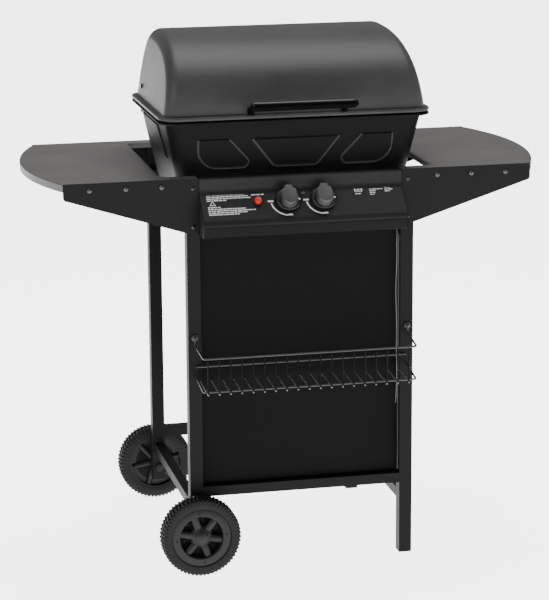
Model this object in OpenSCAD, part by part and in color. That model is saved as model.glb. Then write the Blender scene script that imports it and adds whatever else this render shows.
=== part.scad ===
// Two-burner gas barbecue on a wheeled stand, with side tables, a hood that
// opens backwards, two turning gas knobs and a push-button igniter.
// Millimetres. X runs to the right seen from the front, Y to the back, Z up.

/* [Stand] */
// Half of the outer width of the leg frame
leg_x = 220; // [150:1:300]
// Half of the outer depth of the leg frame
leg_y = 223; // [150:1:300]
// Side of the square leg tube
leg_w = 25; // [15:1:40]
// Wall of the square tubes
tube_t = 1.5; // [1:0.1:3]
// Height of the table top
table_z = 766; // [600:1:900]
// Height of the lower end of the wheeled legs
wheel_leg_z = 50; // [20:1:70]
// Top of the front and rear bottom rails
cross_top = 164; // [100:1:300]
// Top of the left and right bottom rails
side_top = 128; // [80:1:300]
// Height and depth of the rail section
rail_h = 20; // [12:1:30]

/* [Side tables] */
// Half of the overall width over both tables
table_x = 500; // [350:1:600]
// Distance from the centre line to a table's inner edge
table_in = 262; // [240:1:300]
// Radius of the curved outer edge
table_r = 532; // [300:1:900]
// Sheet thickness
sheet_t = 1.2; // [0.8:0.1:3]
// Depth of the folded edge
fold_h = 14; // [6:1:30]
// Width of the rear arm that runs to the leg
arm_w = 26.2; // [15:0.1:40]
// Width of the front arm
front_arm_w = 30; // [15:0.1:40]

/* [Brackets] */
// Distance from the centre line to a bracket's outer end
brk_x = 451; // [350:1:500]
// Bracket height at the outer end
brk_end_h = 33; // [20:1:60]
// Bracket height at the leg
brk_leg_h = 111; // [60:1:140]
// Bracket sheet thickness
brk_t = 1.6; // [1:0.1:3]

/* [Control panel] */
// Half of the panel width
panel_x = 196; // [120:1:260]
// Distance between the two knobs
knob_gap = 68; // [60:1:140]
// Sideways position of the middle of the two knobs
knob_mid = 4; // [-20:0.5:20]
// Sideways position of the igniter
ign_x = -88; // [-150:1:-70]
// Knob skirt radius
knob_r = 25; // [15:1:30]
// Knob grip height
knob_h = 25; // [15:1:35]

/* [Firebox and lid] */
// Half of the width of the rim flange
rim_x = 263; // [200:1:300]
// Front edge of the rim flange
rim_front = -204; // [-240:1:-150]
// Back edge of the rim flange
rim_back = 150; // [100:1:200]
// Height of the firebox floor
box_z = 710; // [660:1:760]
// Height of the top of the firebox rim
rim_z = 868; // [820:1:920]
// Half of the firebox width at the floor
box_x = 217; // [150:1:250]
// Front of the firebox at the floor
box_front = -158; // [-200:1:-100]
// Back of the firebox at the floor
box_back = 104; // [60:1:180]
// Wall thickness of firebox and lid
wall_t = 3; // [2:0.1:5]
// Height of the top of the lid
lid_top = 1013.5; // [950:0.5:1100]
// Squareness of the lid's barrel section
lid_n = 2.55; // [2:0.05:4]
// Rounding radius of the lid's end edges
lid_r = 22; // [5:1:60]
// Inward lean of the lid's ends, per millimetre of height
lid_lean = 0.15; // [0:0.01:0.3]

/* [Wheels] */
// Wheel radius
wheel_r = 77; // [50:1:120]
// Wheel width
wheel_w = 40; // [20:1:50]
// Outer side face of a wheel, from the middle of the stand
wheel_out = 272; // [250:1:300]

/* [Wire basket] */
// Half of the basket's length
basket_x = 204; // [150:1:250]
// Radius of the basket's frame wire
wire_r = 2; // [1:0.1:4]
// Radius of the basket's cross wires
rib_r = 1.5; // [1:0.1:3]
// Number of cross wires
rib_n = 19; // [9:1:30]

/* [Hidden] */
$fn = 48;
shift_y = 18;
leg_cx = leg_x - leg_w / 2;
leg_cy = leg_y - leg_w / 2;
leg_in = leg_x - leg_w;
leg_top = table_z - sheet_t;
foot_h = 4;
cap_h = 3;
slide_gap = 0.05;

axle_z = wheel_r;
axle_r = 5;
bolt_r = axle_r - slide_gap;

rail_z0 = box_z - rail_h;
screw_x = [267, 333.5, 401.5];
screw_z = 752;
leg_screw_z = [747, 674];
screw_r = 2.4;
hole_r = 2.5;
head_r = 5.6;
head_h = 2;
table_fold_y = leg_y - sheet_t;
arc_cx = table_x - table_r;
arm_x = panel_x + 0.4;
arm_r = 12;
arm_fold_h = 9.5;

face_y = -242.5;
face_z = 719.5;
face_tilt = 45;
valve_x = [knob_mid - knob_gap / 2, knob_mid + knob_gap / 2];
valve_y = face_y + 21.2;
valve_z = face_z - 21.2;
pipe_y = face_y + 35.4;
pipe_z = face_z - 35.4;
pipe_r = 8;
neck_r = 8;
stem_r = 4;
stem_in = -30;
button_r = 6.8;
button_h = 10;
igniter_r = 8.2;
panel_screw_v = 14;

box_top = rim_z - 6;
box_draft_x = 31;
box_draft_y = 32;
front_lean = atan(box_draft_y / (box_top - box_z));
side_lean = atan(box_draft_x / (box_top - box_z));

lid_base = rim_z + 1.5;
lid_x = 254;
lid_front = -195;
lid_back = 133;
lid_peak = 50;
lid_t = 2.5;
lid_flange_h = 7.5;
prof_n = 24;
edge_n = 6;

hinge_y = 160;
hinge_z = 870;
hinge_r = 8;
pin_r = 4;
lug_in = 222;
lug_w = 8;

handle_y = -255;
handle_z = 900.5;
handle_r = 9;
handle_end = 103.5;
handle_x = 90;
foot_z = 884;

side_screw_y = 79;
side_screw_z = 899;
rack_screw_y = 103;
rack_screw_z = 847;
rack_leg_x = 234;

ledge_z = 846;
grate_x = 225;
grate_front = -178;
grate_back = 123;
grate_r = 3;
tamer_z = 792;
tamer_x = 112;
riser_y = -100;
riser_r = 11;
riser_bore = 9.5;
cup_y = -27;
cup_z = 696;

basket_back_y = -228.5;
basket_hook_y = -leg_y - 4.4;
basket_front_y = -298.5;
basket_lean = 2;
basket_top_z = 437;
basket_low_z = 372.5;
basket_wall_z = 404;
basket_floor_z = 376;
rib_x0 = -198;
rib_step = 21.6;
basket_screw_z = 460;
basket_arm_x = 208;

dark = [0.09, 0.09, 0.095];
grey = [0.2, 0.2, 0.2];
steel = [0.62, 0.62, 0.64];
rubber = [0.05, 0.05, 0.05];
plastic = [0.06, 0.06, 0.06];

// ---- helpers ----

// Colours a piece and sets the whole object's middle at the origin.
module coat(c) {
  translate([0, shift_y, 0]) color(c) children();
}

module block(a, b) {
  translate(a) cube(b - a);
}

module square_tube(a, b, axis, t) {
  grow = [for (i = [0:2]) i == axis ? 1 : -t];
  difference() {
    block(a, b);
    block(a - grow, b + grow);
  }
}

module rod_x(p, h, r) {
  translate(p) rotate([0, 90, 0]) cylinder(h = h, r = r);
}

module rod_y(p, h, r) {
  translate(p) rotate([-90, 0, 0]) cylinder(h = h, r = r);
}

module rod_z(p, h, r) {
  translate(p) cylinder(h = h, r = r);
}

module bar(a, b, r) {
  v = b - a;
  translate(a) rotate([0, acos(v.z / norm(v)), atan2(v.y, v.x)]) cylinder(h = norm(v), r = r);
}

module wire(pts, r) {
  for (i = [0:len(pts) - 2]) bar(pts[i], pts[i + 1], r);
  for (i = [1:len(pts) - 2]) translate(pts[i]) sphere(r = r);
}

module both_sides() {
  children();
  mirror([1, 0, 0]) children();
}

module front_and_back() {
  children();
  mirror([0, 1, 0]) children();
}

module rounded(x0, y0, x1, y1, r) {
  translate([x0 + r, y0]) square([x1 - x0 - 2 * r, y1 - y0]);
  translate([x0, y0 + r]) square([x1 - x0, y1 - y0 - 2 * r]);
  for (x = [x0 + r, x1 - r]) for (y = [y0 + r, y1 - r]) translate([x, y]) circle(r = r);
}

module slab(x0, y0, x1, y1, r, z0, z1) {
  translate([0, 0, z0]) linear_extrude(z1 - z0) rounded(x0, y0, x1, y1, r);
}

// Frame of the sloping face: local Z points out of the panel.
module on_face(x) {
  translate([x, face_y, face_z]) rotate([face_tilt, 0, 0]) children();
}

// Frame of the firebox's front wall: local Y runs up the wall, Z outwards.
module on_front_wall() {
  translate([0, box_front, box_z]) rotate([90 + front_lean, 0, 0]) children();
}

// Frame of the firebox's right wall: local X runs to the back, Z outwards.
module on_side_wall() {
  translate([box_x, 0, box_z]) rotate([90 + side_lean, 0, 90]) children();
}

// Profile in Y and Z, extruded along X.
module along_x(x0, x1) {
  translate([x0, 0, 0]) rotate([90, 0, 90]) linear_extrude(x1 - x0) children();
}

// Profile in X and Z, extruded along Y.
module along_y(y0, y1) {
  translate([0, y1, 0]) rotate([90, 0, 0]) linear_extrude(y1 - y0) children();
}

function unit(v) = v / norm(v);
function seg_n(p, i) = let (d = unit(p[i + 1] - p[i])) [-d.y, d.x];
function miter(p, i, t) =
  let (n = len(p))
  let (a = seg_n(p, max(i - 1, 0)))
  let (b = seg_n(p, min(i, n - 2)))
  p[i] + t * (a + b) / (1 + a * b);
function ribbon(p, t) = concat(p, [for (i = [len(p) - 1:-1:0]) miter(p, i, t)]);

// ---- stand ----

module leg(sx, sy, z0) {
  coat(dark) difference() {
    translate([sx * leg_cx, sy * leg_cy, 0])
      square_tube([-leg_w / 2, -leg_w / 2, z0], [leg_w / 2, leg_w / 2, leg_top], 2, tube_t);
    for (z = leg_screw_z) rod_y([sx * leg_cx, sy * leg_y - 5, z], 10, hole_r);
    if (sy < 0) rod_y([sx * basket_arm_x, sy * leg_y - 5, basket_screw_z], 10, hole_r);
    if (sx < 0) rod_y([sx * leg_cx, sy * leg_cy - leg_w, axle_z], 2 * leg_w, axle_r);
  }
}

module left_front_leg() {
  leg(-1, -1, wheel_leg_z + cap_h);
}

module right_front_leg() {
  leg(1, -1, foot_h);
}

module left_rear_leg() {
  leg(-1, 1, wheel_leg_z + cap_h);
}

module right_rear_leg() {
  leg(1, 1, foot_h);
}

module cap(x, y, z0, h, plug) {
  in = leg_w / 2 - tube_t - 0.1;
  block([x - leg_w / 2, y - leg_w / 2, z0], [x + leg_w / 2, y + leg_w / 2, z0 + h]);
  block([x - in, y - in, z0 + h], [x + in, y + in, z0 + h + plug]);
}

module foot_caps() {
  plug_foot = 14;
  plug_wheel = 10;
  coat(dark) for (y = [-leg_cy, leg_cy]) {
    cap(leg_cx, y, 0, foot_h, plug_foot);
    cap(-leg_cx, y, wheel_leg_z, cap_h, plug_wheel);
  }
}

module cross_rail(y0) {
  coat(dark) square_tube([-leg_in, y0, cross_top - rail_h],
    [leg_in, y0 + leg_w, cross_top], 0, tube_t);
}

module front_bottom_rail() {
  cross_rail(-leg_y);
}

module rear_bottom_rail() {
  cross_rail(leg_y - leg_w);
}

module right_bottom_rail() {
  out = leg_x - 5;
  coat(dark) square_tube([out - rail_h, -leg_y + leg_w, side_top - rail_h],
    [out, leg_y - leg_w, side_top], 1, tube_t);
}

module left_bottom_rail() {
  mirror([1, 0, 0]) right_bottom_rail();
}

bolt_y = [-110, 60];

module right_top_rail() {
  coat(dark) difference() {
    square_tube([leg_in, -leg_y + leg_w, rail_z0], [leg_x, leg_y - leg_w, box_z], 1, tube_t);
    for (y = bolt_y) rod_z([leg_cx, y, rail_z0 - 1], rail_h + 2, 3.1);
  }
}

module left_top_rail() {
  mirror([1, 0, 0]) right_top_rail();
}

module rear_top_rail() {
  coat(dark) square_tube([-leg_in, leg_y - leg_w, rail_z0],
    [leg_in, leg_y, box_z], 0, tube_t);
}

module front_top_rail() {
  coat(dark) block([-leg_in, -205, 636], [leg_in, -200, 660]);
}

// ---- tables and brackets ----

module table_outline() {
  intersection() {
    translate([arc_cx, 0]) circle(r = table_r, $fn = 180);
    translate([table_in, -leg_y]) square([table_x, 2 * leg_y]);
  }
}

module table_arms() {
  r = arm_r;
  for (s = [-1, 1]) {
    w = s > 0 ? arm_w : front_arm_w;
    y = leg_y - w;
    difference() {
      union() {
        translate([arm_x, s > 0 ? y : -leg_y]) square([table_in - arm_x, w]);
        translate([table_in - r, s > 0 ? y - r : -y]) square([r, r]);
      }
      translate([table_in - r, s * (y - r)]) circle(r = r);
    }
  }
}

module right_side_table() {
  fold_z = leg_top - fold_h;
  slot_y0 = front_arm_w + arm_r - leg_y;
  slot_y1 = leg_y - arm_w - arm_r;
  coat(grey) difference() {
    union() {
      translate([0, 0, leg_top]) linear_extrude(sheet_t) {
        table_outline();
        table_arms();
      }
      translate([0, 0, fold_z]) linear_extrude(fold_h) difference() {
        intersection() {
          table_outline();
          translate([table_in, -table_fold_y]) square([table_x, 2 * table_fold_y]);
        }
        translate([arc_cx, 0]) circle(r = table_r - sheet_t, $fn = 180);
      }
      block([table_in, slot_y0, fold_z], [table_in + sheet_t, slot_y1, leg_top]);
      for (s = [-1, 1]) {
        y0 = s > 0 ? leg_y - arm_w : front_arm_w - leg_y - sheet_t;
        block([arm_x, y0, leg_top - arm_fold_h], [table_in - arm_r, y0 + sheet_t, leg_top]);
      }
      for (s = [-1, 1]) {
        y0 = s > 0 ? table_fold_y : -leg_y;
        block([leg_x + 1, y0, screw_z - 12], [brk_x - 1, y0 + sheet_t, leg_top]);
      }
    }
    for (x = screw_x) rod_y([x, -leg_y - 5, screw_z], 2 * leg_y + 10, hole_r);
  }
}

module left_side_table() {
  mirror([1, 0, 0]) right_side_table();
}

module bracket_outline() {
  r = 8;
  x0 = arm_x;
  end_z = table_z - brk_end_h;
  leg_z = table_z - brk_leg_h;
  polygon([[x0, table_z], [x0, leg_z], [brk_x - r, end_z], [brk_x, end_z + r], [brk_x, table_z]]);
  translate([brk_x - r, end_z + r]) circle(r = r);
}

module bracket() {
  lip = 10;
  lip_x = leg_x + 1;
  difference() {
    union() {
      along_y(-leg_y - brk_t, -leg_y) bracket_outline();
      along_y(-leg_y - brk_t, -leg_y + lip) intersection() {
        difference() {
          bracket_outline();
          translate([0, brk_t]) bracket_outline();
        }
        translate([lip_x, 0]) square([brk_x - 10 - lip_x, table_z]);
      }
    }
    for (x = screw_x) rod_y([x, -leg_y - 5, screw_z], 10, hole_r);
    for (z = leg_screw_z) rod_y([leg_cx, -leg_y - 5, z], 10, hole_r);
  }
}

module right_front_bracket() {
  coat(dark) bracket();
}

module left_front_bracket() {
  coat(dark) mirror([1, 0, 0]) bracket();
}

module right_rear_bracket() {
  coat(dark) mirror([0, 1, 0]) bracket();
}

module left_rear_bracket() {
  coat(dark) mirror([1, 0, 0]) mirror([0, 1, 0]) bracket();
}

// A domed screw that points to the back, its head resting at y.
module screw(x, y, z, l, r = screw_r, hr = head_r) {
  dome = 2 * hr;
  rod_y([x, y, z], l, r);
  translate([x, y, z]) rotate([90, 0, 0]) intersection() {
    cylinder(h = head_h, r = hr);
    translate([0, 0, head_h - dome]) sphere(r = dome);
  }
}

module table_screws() {
  coat(steel) both_sides() front_and_back() for (x = screw_x) {
    screw(x, -leg_y - brk_t, screw_z, 8);
  }
}

module leg_screws() {
  coat(dark) both_sides() front_and_back() for (z = leg_screw_z) {
    screw(leg_cx, -leg_y - brk_t, z, 8);
  }
}

// A thin sheet on a narrow flange that rests on the lower rail.
module front_panel() {
  edge = leg_in - 0.6;
  front = -207;
  back = front + 1;
  coat(dark) {
    block([-edge, front, cross_top], [edge, back, 668]);
    block([-edge, front - 12, cross_top], [edge, back, cross_top + 1]);
  }
}

// ---- control panel and gas ----

panel_path = [[-leg_y, 765], [-224.8, 764], [-225.5, 762], [-225.5, 739.5],
  [-227, 735], [-271.5, 690.5], [-274, 687.2], [-275, 683.5], [-275, 679.5],
  [-267.5, 661.5], [-266, 659], [-263, 658], [-250, 658]];

module control_panel() {
  side = panel_x - sheet_t;
  n = len(panel_path);
  back = [[-leg_y, 658]];
  inner = [for (i = [0:n - 1]) miter(panel_path, i, sheet_t)];
  coat(dark) difference() {
    union() {
      difference() {
        along_x(-panel_x, panel_x) polygon(concat(panel_path, back));
        along_x(-side, side) polygon(concat([[-180, inner[0].y]], inner,
          [[-250, 650], [-180, 650]]));
      }
      block([-side, -leg_y - 1, inner[0].y], [side, -206, 765]);
      both_sides() block([side - sheet_t, -226, 668], [side, -202, 752]);
    }
    for (x = valve_x) on_face(x) translate([0, 0, -10]) cylinder(h = 20, r = neck_r + 0.5);
    on_face(ign_x) translate([0, 0, -10]) cylinder(h = 20, r = igniter_r + 0.1);
    on_face(1.5) translate([0, panel_screw_v, -10]) cylinder(h = 20, r = hole_r);
  }
}

module panel_screw() {
  coat(dark) on_face(1.5) translate([0, panel_screw_v, 0]) {
    translate([0, 0, -8]) cylinder(h = 8.5, r = screw_r);
    cylinder(h = 1.6, r = 3.4);
  }
}

// Body behind the panel, with a bored neck for the turning stem and a jet
// that points into the burner's open end.
module gas_valve(x) {
  neck_h = 12;
  body_h = 42;
  coat([0.72, 0.6, 0.32]) {
    on_face(x) difference() {
      union() {
        translate([0, 0, -neck_h]) cylinder(h = neck_h + 0.5, r = neck_r);
        translate([0, 0, -body_h]) cylinder(h = body_h - neck_h, r = 11);
        translate([-19, -9, -sheet_t - 2.2]) cube([38, 18, 2]);
      }
      translate([0, 0, stem_in - slide_gap]) cylinder(h = 40, r = stem_r + slide_gap);
    }
    rod_y([x, valve_y + 9, valve_z], 24, 4);
    on_face(x) translate([0, 0, -body_h - 3]) cylinder(h = 4, r = 4.9);
  }
}

module left_gas_valve() {
  gas_valve(valve_x[0]);
}

module right_gas_valve() {
  gas_valve(valve_x[1]);
}

module gas_manifold() {
  tail_x = 150;
  left = valve_x[0] - 18;
  coat(steel) difference() {
    union() {
      rod_x([left, pipe_y, pipe_z], tail_x - left, pipe_r);
      translate([tail_x, pipe_y, pipe_z]) sphere(r = pipe_r);
      rod_y([tail_x, pipe_y, pipe_z], 14, 6.5);
      rod_y([tail_x, pipe_y + 14, pipe_z], 26, 4);
    }
    for (x = valve_x) on_face(x) translate([0, 0, -46]) cylinder(h = 5, r = 5);
    rod_x([left + 2, pipe_y, pipe_z], tail_x - left - 2, pipe_r - 1.5);
    rod_y([tail_x, pipe_y, pipe_z], 60, 2.5);
  }
}

module burner(x, s) {
  ring_in = 24.5;
  ring_out = 198;
  x0 = s > 0 ? ring_in : -ring_out;
  x1 = s > 0 ? ring_out : -ring_in;
  mouth_y = valve_y + 28;
  coat(steel) difference() {
    union() {
      rod_y([x, mouth_y, valve_z], riser_y - mouth_y, riser_r);
      translate([x, riser_y, valve_z]) sphere(r = riser_r);
      rod_z([x, riser_y, valve_z], 742 - valve_z, riser_r);
      difference() {
        slab(x0, -114, x1, 62, 32, 738, 754);
        slab(x0 + 24, -90, x1 - 24, 38, 12, 730, 760);
      }
    }
    rod_y([x, mouth_y - 1, valve_z], riser_y - mouth_y + 1, riser_bore);
    translate([x, riser_y, valve_z]) sphere(r = riser_bore);
    rod_z([x, riser_y, valve_z], 744 - valve_z, riser_bore);
  }
}

module left_burner() {
  burner(valve_x[0], -1);
}

module right_burner() {
  burner(valve_x[1], 1);
}

module igniter_body() {
  coat(dark) on_face(ign_x) difference() {
    union() {
      translate([0, 0, -34]) cylinder(h = 34.5, r = igniter_r);
      cylinder(h = 2.5, r = igniter_r + 1.2);
      translate([0, 0, -sheet_t - 5]) cylinder(h = 4.8, r = igniter_r + 3.5, $fn = 6);
    }
    translate([0, 0, -18]) cylinder(h = 30, r = button_r + 0.3);
  }
}

module igniter_button() {
  coat([0.75, 0.06, 0.04]) on_face(ign_x) {
    translate([0, 0, -12]) cylinder(h = 12 + button_h - 1, r = button_r);
    translate([0, 0, button_h - 1]) cylinder(h = 1, r1 = button_r, r2 = button_r - 1);
  }
}

module igniter_electrode() {
  coat([0.85, 0.83, 0.78]) {
    rod_z([knob_mid, -60, 700], 46, 4);
    rod_z([knob_mid, -60, 746], 10, 1.2);
  }
}

module knob(x) {
  skirt_z = 1.5;
  skirt_h = 7;
  grip_w = 30;
  grip_l = 44;
  coat([0.14, 0.14, 0.145]) on_face(x) difference() {
    union() {
      translate([0, 0, skirt_z]) cylinder(h = skirt_h - 2, r = knob_r);
      translate([0, 0, skirt_z + skirt_h - 2]) cylinder(h = 2, r1 = knob_r, r2 = knob_r - 3);
      translate([0, 0, skirt_z + 1]) intersection() {
        translate([-grip_w / 2, -grip_l / 2, 0]) cube([grip_w, grip_l, knob_h - 2.5]);
        cylinder(h = knob_h, r1 = knob_r + 1, r2 = grip_l / 2 - 1);
      }
    }
    translate([0, 0, skirt_z - 1]) cylinder(h = 13, r = stem_r + 0.02);
  }
}

module left_knob() {
  knob(valve_x[0]);
}

module right_knob() {
  knob(valve_x[1]);
}

module valve_stem(x) {
  coat(steel) on_face(x) translate([0, 0, stem_in]) cylinder(h = 13.4 - stem_in, r = stem_r);
}

module left_valve_stem() {
  valve_stem(valve_x[0]);
}

module right_valve_stem() {
  valve_stem(valve_x[1]);
}

// ---- firebox ----

module box_solid(inset, z0, z1) {
  span = box_top - box_z;
  r = 28 - inset;
  hull() for (z = [z0, z1]) {
    f = (z - box_z) / span;
    gx = box_x + f * box_draft_x - inset;
    y0 = box_front - f * box_draft_y + inset;
    y1 = box_back + f * box_draft_y - inset;
    slab(-gx, y0, gx, y1, r, z, z + 0.01);
  }
}

module side_panel_shape() {
  intersection() {
    polygon([[-188, 122], [-131, 122], [-90, 78], [-97, 67], [-188, 67]]);
    translate([-128, 126]) circle(r = 60);
  }
}

module middle_panel_shape() {
  polygon([[-83, 121], [83, 121], [41, 68], [-41, 68]]);
}

module end_panel_shape() {
  polygon([[-71, 138], [-106, 76], [84, 76], [90, 138]]);
}

module firebox() {
  ledge = 12;
  coat(dark) difference() {
    union() {
      difference() {
        union() {
          box_solid(0, box_z, box_top + 1);
          slab(-rim_x, rim_front, rim_x, rim_back, 34, box_top, rim_z);
          on_front_wall() translate([0, 0, -1]) linear_extrude(3.5) {
            side_panel_shape();
            middle_panel_shape();
            mirror([1, 0, 0]) side_panel_shape();
          }
          both_sides() on_side_wall() translate([0, 0, -1]) linear_extrude(3.5)
            end_panel_shape();
          both_sides() for (x = [lug_in - lug_w - 0.5, lug_in + lug_w + 0.5]) {
            rod_x([x, hinge_y, hinge_z], lug_w, hinge_r);
            block([x, rim_back - 4, box_top], [x + lug_w, hinge_y, rim_z]);
          }
        }
        box_solid(wall_t, box_z + wall_t, rim_z + 4);
      }
      for (x = [-150, 150]) {
        block([x - 10, -186, ledge_z - 4], [x + 10, -186 + ledge, ledge_z]);
        block([x - 10, 132 - ledge, ledge_z - 4], [x + 10, 132, ledge_z]);
      }
      for (s = [-1, 1]) for (x = [s * tamer_x - 40, s * tamer_x + 40]) {
        block([x - 9, -175, tamer_z - 4], [x + 9, -160, tamer_z]);
        block([x - 9, 106, tamer_z - 4], [x + 9, 121, tamer_z]);
      }
    }
    both_sides() {
      rod_x([lug_in - 20, hinge_y, hinge_z], 60, pin_r + slide_gap);
      rod_x([box_x, rack_screw_y, rack_screw_z], 60, 2.1);
      for (y = bolt_y) rod_z([leg_cx, y, box_z - 5], 12, 3.1);
    }
    for (x = valve_x) rod_z([x, riser_y, box_z - 5], 12, riser_r + 1);
    rod_z([knob_mid, -60, box_z - 5], 12, 4.2);
    rod_z([0, cup_y, box_z - 5], 12, 9);
  }
}

module firebox_bolts() {
  nut_r = 4.5;
  coat(steel) both_sides() for (y = bolt_y) {
    rod_z([leg_cx, y, rail_z0], box_z + wall_t + 5 - rail_z0, 3);
    rod_z([leg_cx, y, rail_z0 - 3], 3, 6);
    rod_z([leg_cx, y, box_z + wall_t], 3.5, nut_r);
  }
}

module hinge_pins() {
  x0 = lug_in - lug_w - 2;
  x1 = lug_in + 2 * lug_w + 2;
  coat(steel) both_sides() {
    rod_x([x0, hinge_y, hinge_z], x1 - x0, pin_r);
    rod_x([x1 - 0.5, hinge_y, hinge_z], 2.5, pin_r + 2);
  }
}

module flame_tamer(s) {
  half = 56;
  rise = 24;
  path = [[half, tamer_z], [half - 4, tamer_z], [0, tamer_z + rise],
    [4 - half, tamer_z], [-half, tamer_z]];
  coat(steel) translate([s * tamer_x, 0, 0]) along_y(-168, 114)
    polygon(ribbon([for (p = path) [p.x, p.y + 1.5]], 1.5));
}

module left_flame_tamer() {
  flame_tamer(-1);
}

module right_flame_tamer() {
  flame_tamer(1);
}

module cooking_grate() {
  n = 24;
  step = 2 * grate_x / (n + 1);
  z = ledge_z + grate_r;
  corners = [[-grate_x, grate_front, z], [grate_x, grate_front, z], [grate_x, grate_back, z],
    [-grate_x, grate_back, z]];
  coat(steel) {
    for (i = [0:3]) {
      bar(corners[i], corners[(i + 1) % 4], grate_r);
      translate(corners[i]) sphere(r = grate_r);
    }
    for (i = [1:n]) {
      rod_y([-grate_x + i * step, grate_front, z + 1], grate_back - grate_front, 2);
    }
    rod_x([-grate_x, (grate_front + grate_back) / 2, z - 0.5], 2 * grate_x, 2.2);
  }
}

module warming_rack() {
  y0 = 22;
  y1 = 112;
  z = 928;
  coat(steel) {
    wire([[-rack_leg_x, y0, z], [rack_leg_x, y0, z], [rack_leg_x, y1, z],
      [-rack_leg_x, y1, z], [-rack_leg_x, y0, z]], 2.5);
    translate([-rack_leg_x, y0, z]) sphere(r = 2.5);
    for (i = [1:6]) {
      rod_x([-rack_leg_x, y0 + i * (y1 - y0) / 7, z], 2 * rack_leg_x, 1.6);
    }
    both_sides() {
      wire([[rack_leg_x, y0 + 10, z], [rack_leg_x, y0 + 14, 900],
        [rack_leg_x, rack_screw_y, rack_screw_z + 6]], 2.2);
      difference() {
        rod_x([rack_leg_x - 2, rack_screw_y, rack_screw_z], 4, 7);
        rod_x([rack_leg_x - 5, rack_screw_y, rack_screw_z], 10, 2.1);
      }
    }
  }
}

module rack_screws() {
  out = box_x + box_draft_x * (rack_screw_z - box_z) / (box_top - box_z) + 1;
  coat(dark) both_sides() {
    rod_x([rack_leg_x - 5, rack_screw_y, rack_screw_z], out + 5 - rack_leg_x, 2);
    rod_x([out, rack_screw_y, rack_screw_z], 2.2, 5);
    rod_x([rack_leg_x - 5.2, rack_screw_y, rack_screw_z], 3, 4);
  }
}

cup_rail_x = 36.5;

module cup_holder() {
  coat(steel) both_sides() {
    block([cup_rail_x, -66, cup_z - 6], [cup_rail_x + 1.5, 34, box_z]);
    block([cup_rail_x - 6, -66, cup_z - 6], [cup_rail_x, 34, cup_z - 4.5]);
    block([cup_rail_x, -66, box_z - 1.5], [cup_rail_x + 12, 34, box_z]);
  }
}

module grease_cup() {
  r = 29;
  depth = 48;
  z = cup_z - 4.5;
  coat(steel) {
    difference() {
      rod_z([0, cup_y, z - depth], depth + 0.7, r);
      rod_z([0, cup_y, z - depth + 0.8], depth + 5, r - 0.8);
    }
    difference() {
      rod_z([0, cup_y, z + 0.2], 1.2, cup_rail_x - 0.5);
      rod_z([0, cup_y, z - 5], 10, r - 0.8);
    }
  }
}

// ---- lid ----

// Point on the barrel section: a runs from 0 at the front to 180 at the back.
function lid_pt(a, th, inset, side) =
  let (c = cos(a))
  let (s = sin(a))
  let (d = inset + lid_r * (1 - cos(th)))
  let (half = c > 0 ? lid_peak - lid_front : lid_back - lid_peak)
  let (y = lid_peak - sign(c) * (half - d) * pow(abs(c), 2 / lid_n))
  let (z = lid_base + (lid_top - lid_base - d) * pow(abs(s), 2 / lid_n))
  let (x = lid_x - inset - lid_r * (1 - sin(th)) - lid_lean * (z - lid_base))
  [side * x, y, z];

lid_sections = concat([for (i = [edge_n:-1:0]) [i * 90 / edge_n, -1]],
  [for (i = [0:edge_n]) [i * 90 / edge_n, 1]]);

function lid_grid(inset) = [for (s = lid_sections) for (j = [0:prof_n])
  lid_pt(j * 180 / prof_n, s[0], inset, s[1])];

// Closed shell: outer and inner barrel joined by a flat ring at the base.
module lid_barrel() {
  m = len(lid_sections);
  w = prof_n + 1;
  total = m * w;
  last = (m - 1) * w;
  loop = concat([for (i = [0:m - 1]) i * w], [for (i = [m - 1:-1:0]) i * w + prof_n]);
  k = len(loop);
  skin = [for (i = [0:m - 2]) for (j = [0:prof_n - 1]) for (h = [0, 1])
    h == 0 ? [i * w + j, i * w + j + 1, (i + 1) * w + j]
      : [i * w + j + 1, (i + 1) * w + j + 1, (i + 1) * w + j]];
  ends = [[for (j = [prof_n:-1:0]) j], [for (j = [0:prof_n]) last + j]];
  outer = concat(skin, ends);
  inner = [for (f = outer) [for (i = [len(f) - 1:-1:0]) f[i] + total]];
  ring = [for (i = [0:k - 1]) for (h = [0, 1])
    h == 0 ? [loop[i], loop[(i + 1) % k], loop[i] + total]
      : [loop[(i + 1) % k], loop[(i + 1) % k] + total, loop[i] + total]];
  polyhedron(points = concat(lid_grid(0), lid_grid(lid_t)),
    faces = concat(outer, inner, ring));
}

module lid_shell() {
  flange_top = lid_base + lid_flange_h;
  mid = lid_t / 2;
  coat([0.17, 0.17, 0.175]) difference() {
    union() {
      lid_barrel();
      difference() {
        slab(-rim_x, rim_front, rim_x, rim_back, 34, lid_base, flange_top);
        slab(-lid_x + mid + 1, lid_front + mid, lid_x - mid - 1, lid_back - mid, 12,
          lid_base - 1, flange_top + 1);
      }
      both_sides() {
        rod_x([lug_in, hinge_y, hinge_z], lug_w, hinge_r);
        block([lug_in, rim_back - 3, hinge_z], [lug_in + lug_w, hinge_y, flange_top]);
      }
    }
    both_sides() {
      rod_x([lug_in - 5, hinge_y, hinge_z], lug_w + 10, pin_r + slide_gap);
      rod_y([handle_x, lid_front - 3, foot_z], 10, hole_r);
      rod_x([lid_x - 20, side_screw_y, side_screw_z], 30, hole_r);
    }
  }
}

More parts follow.
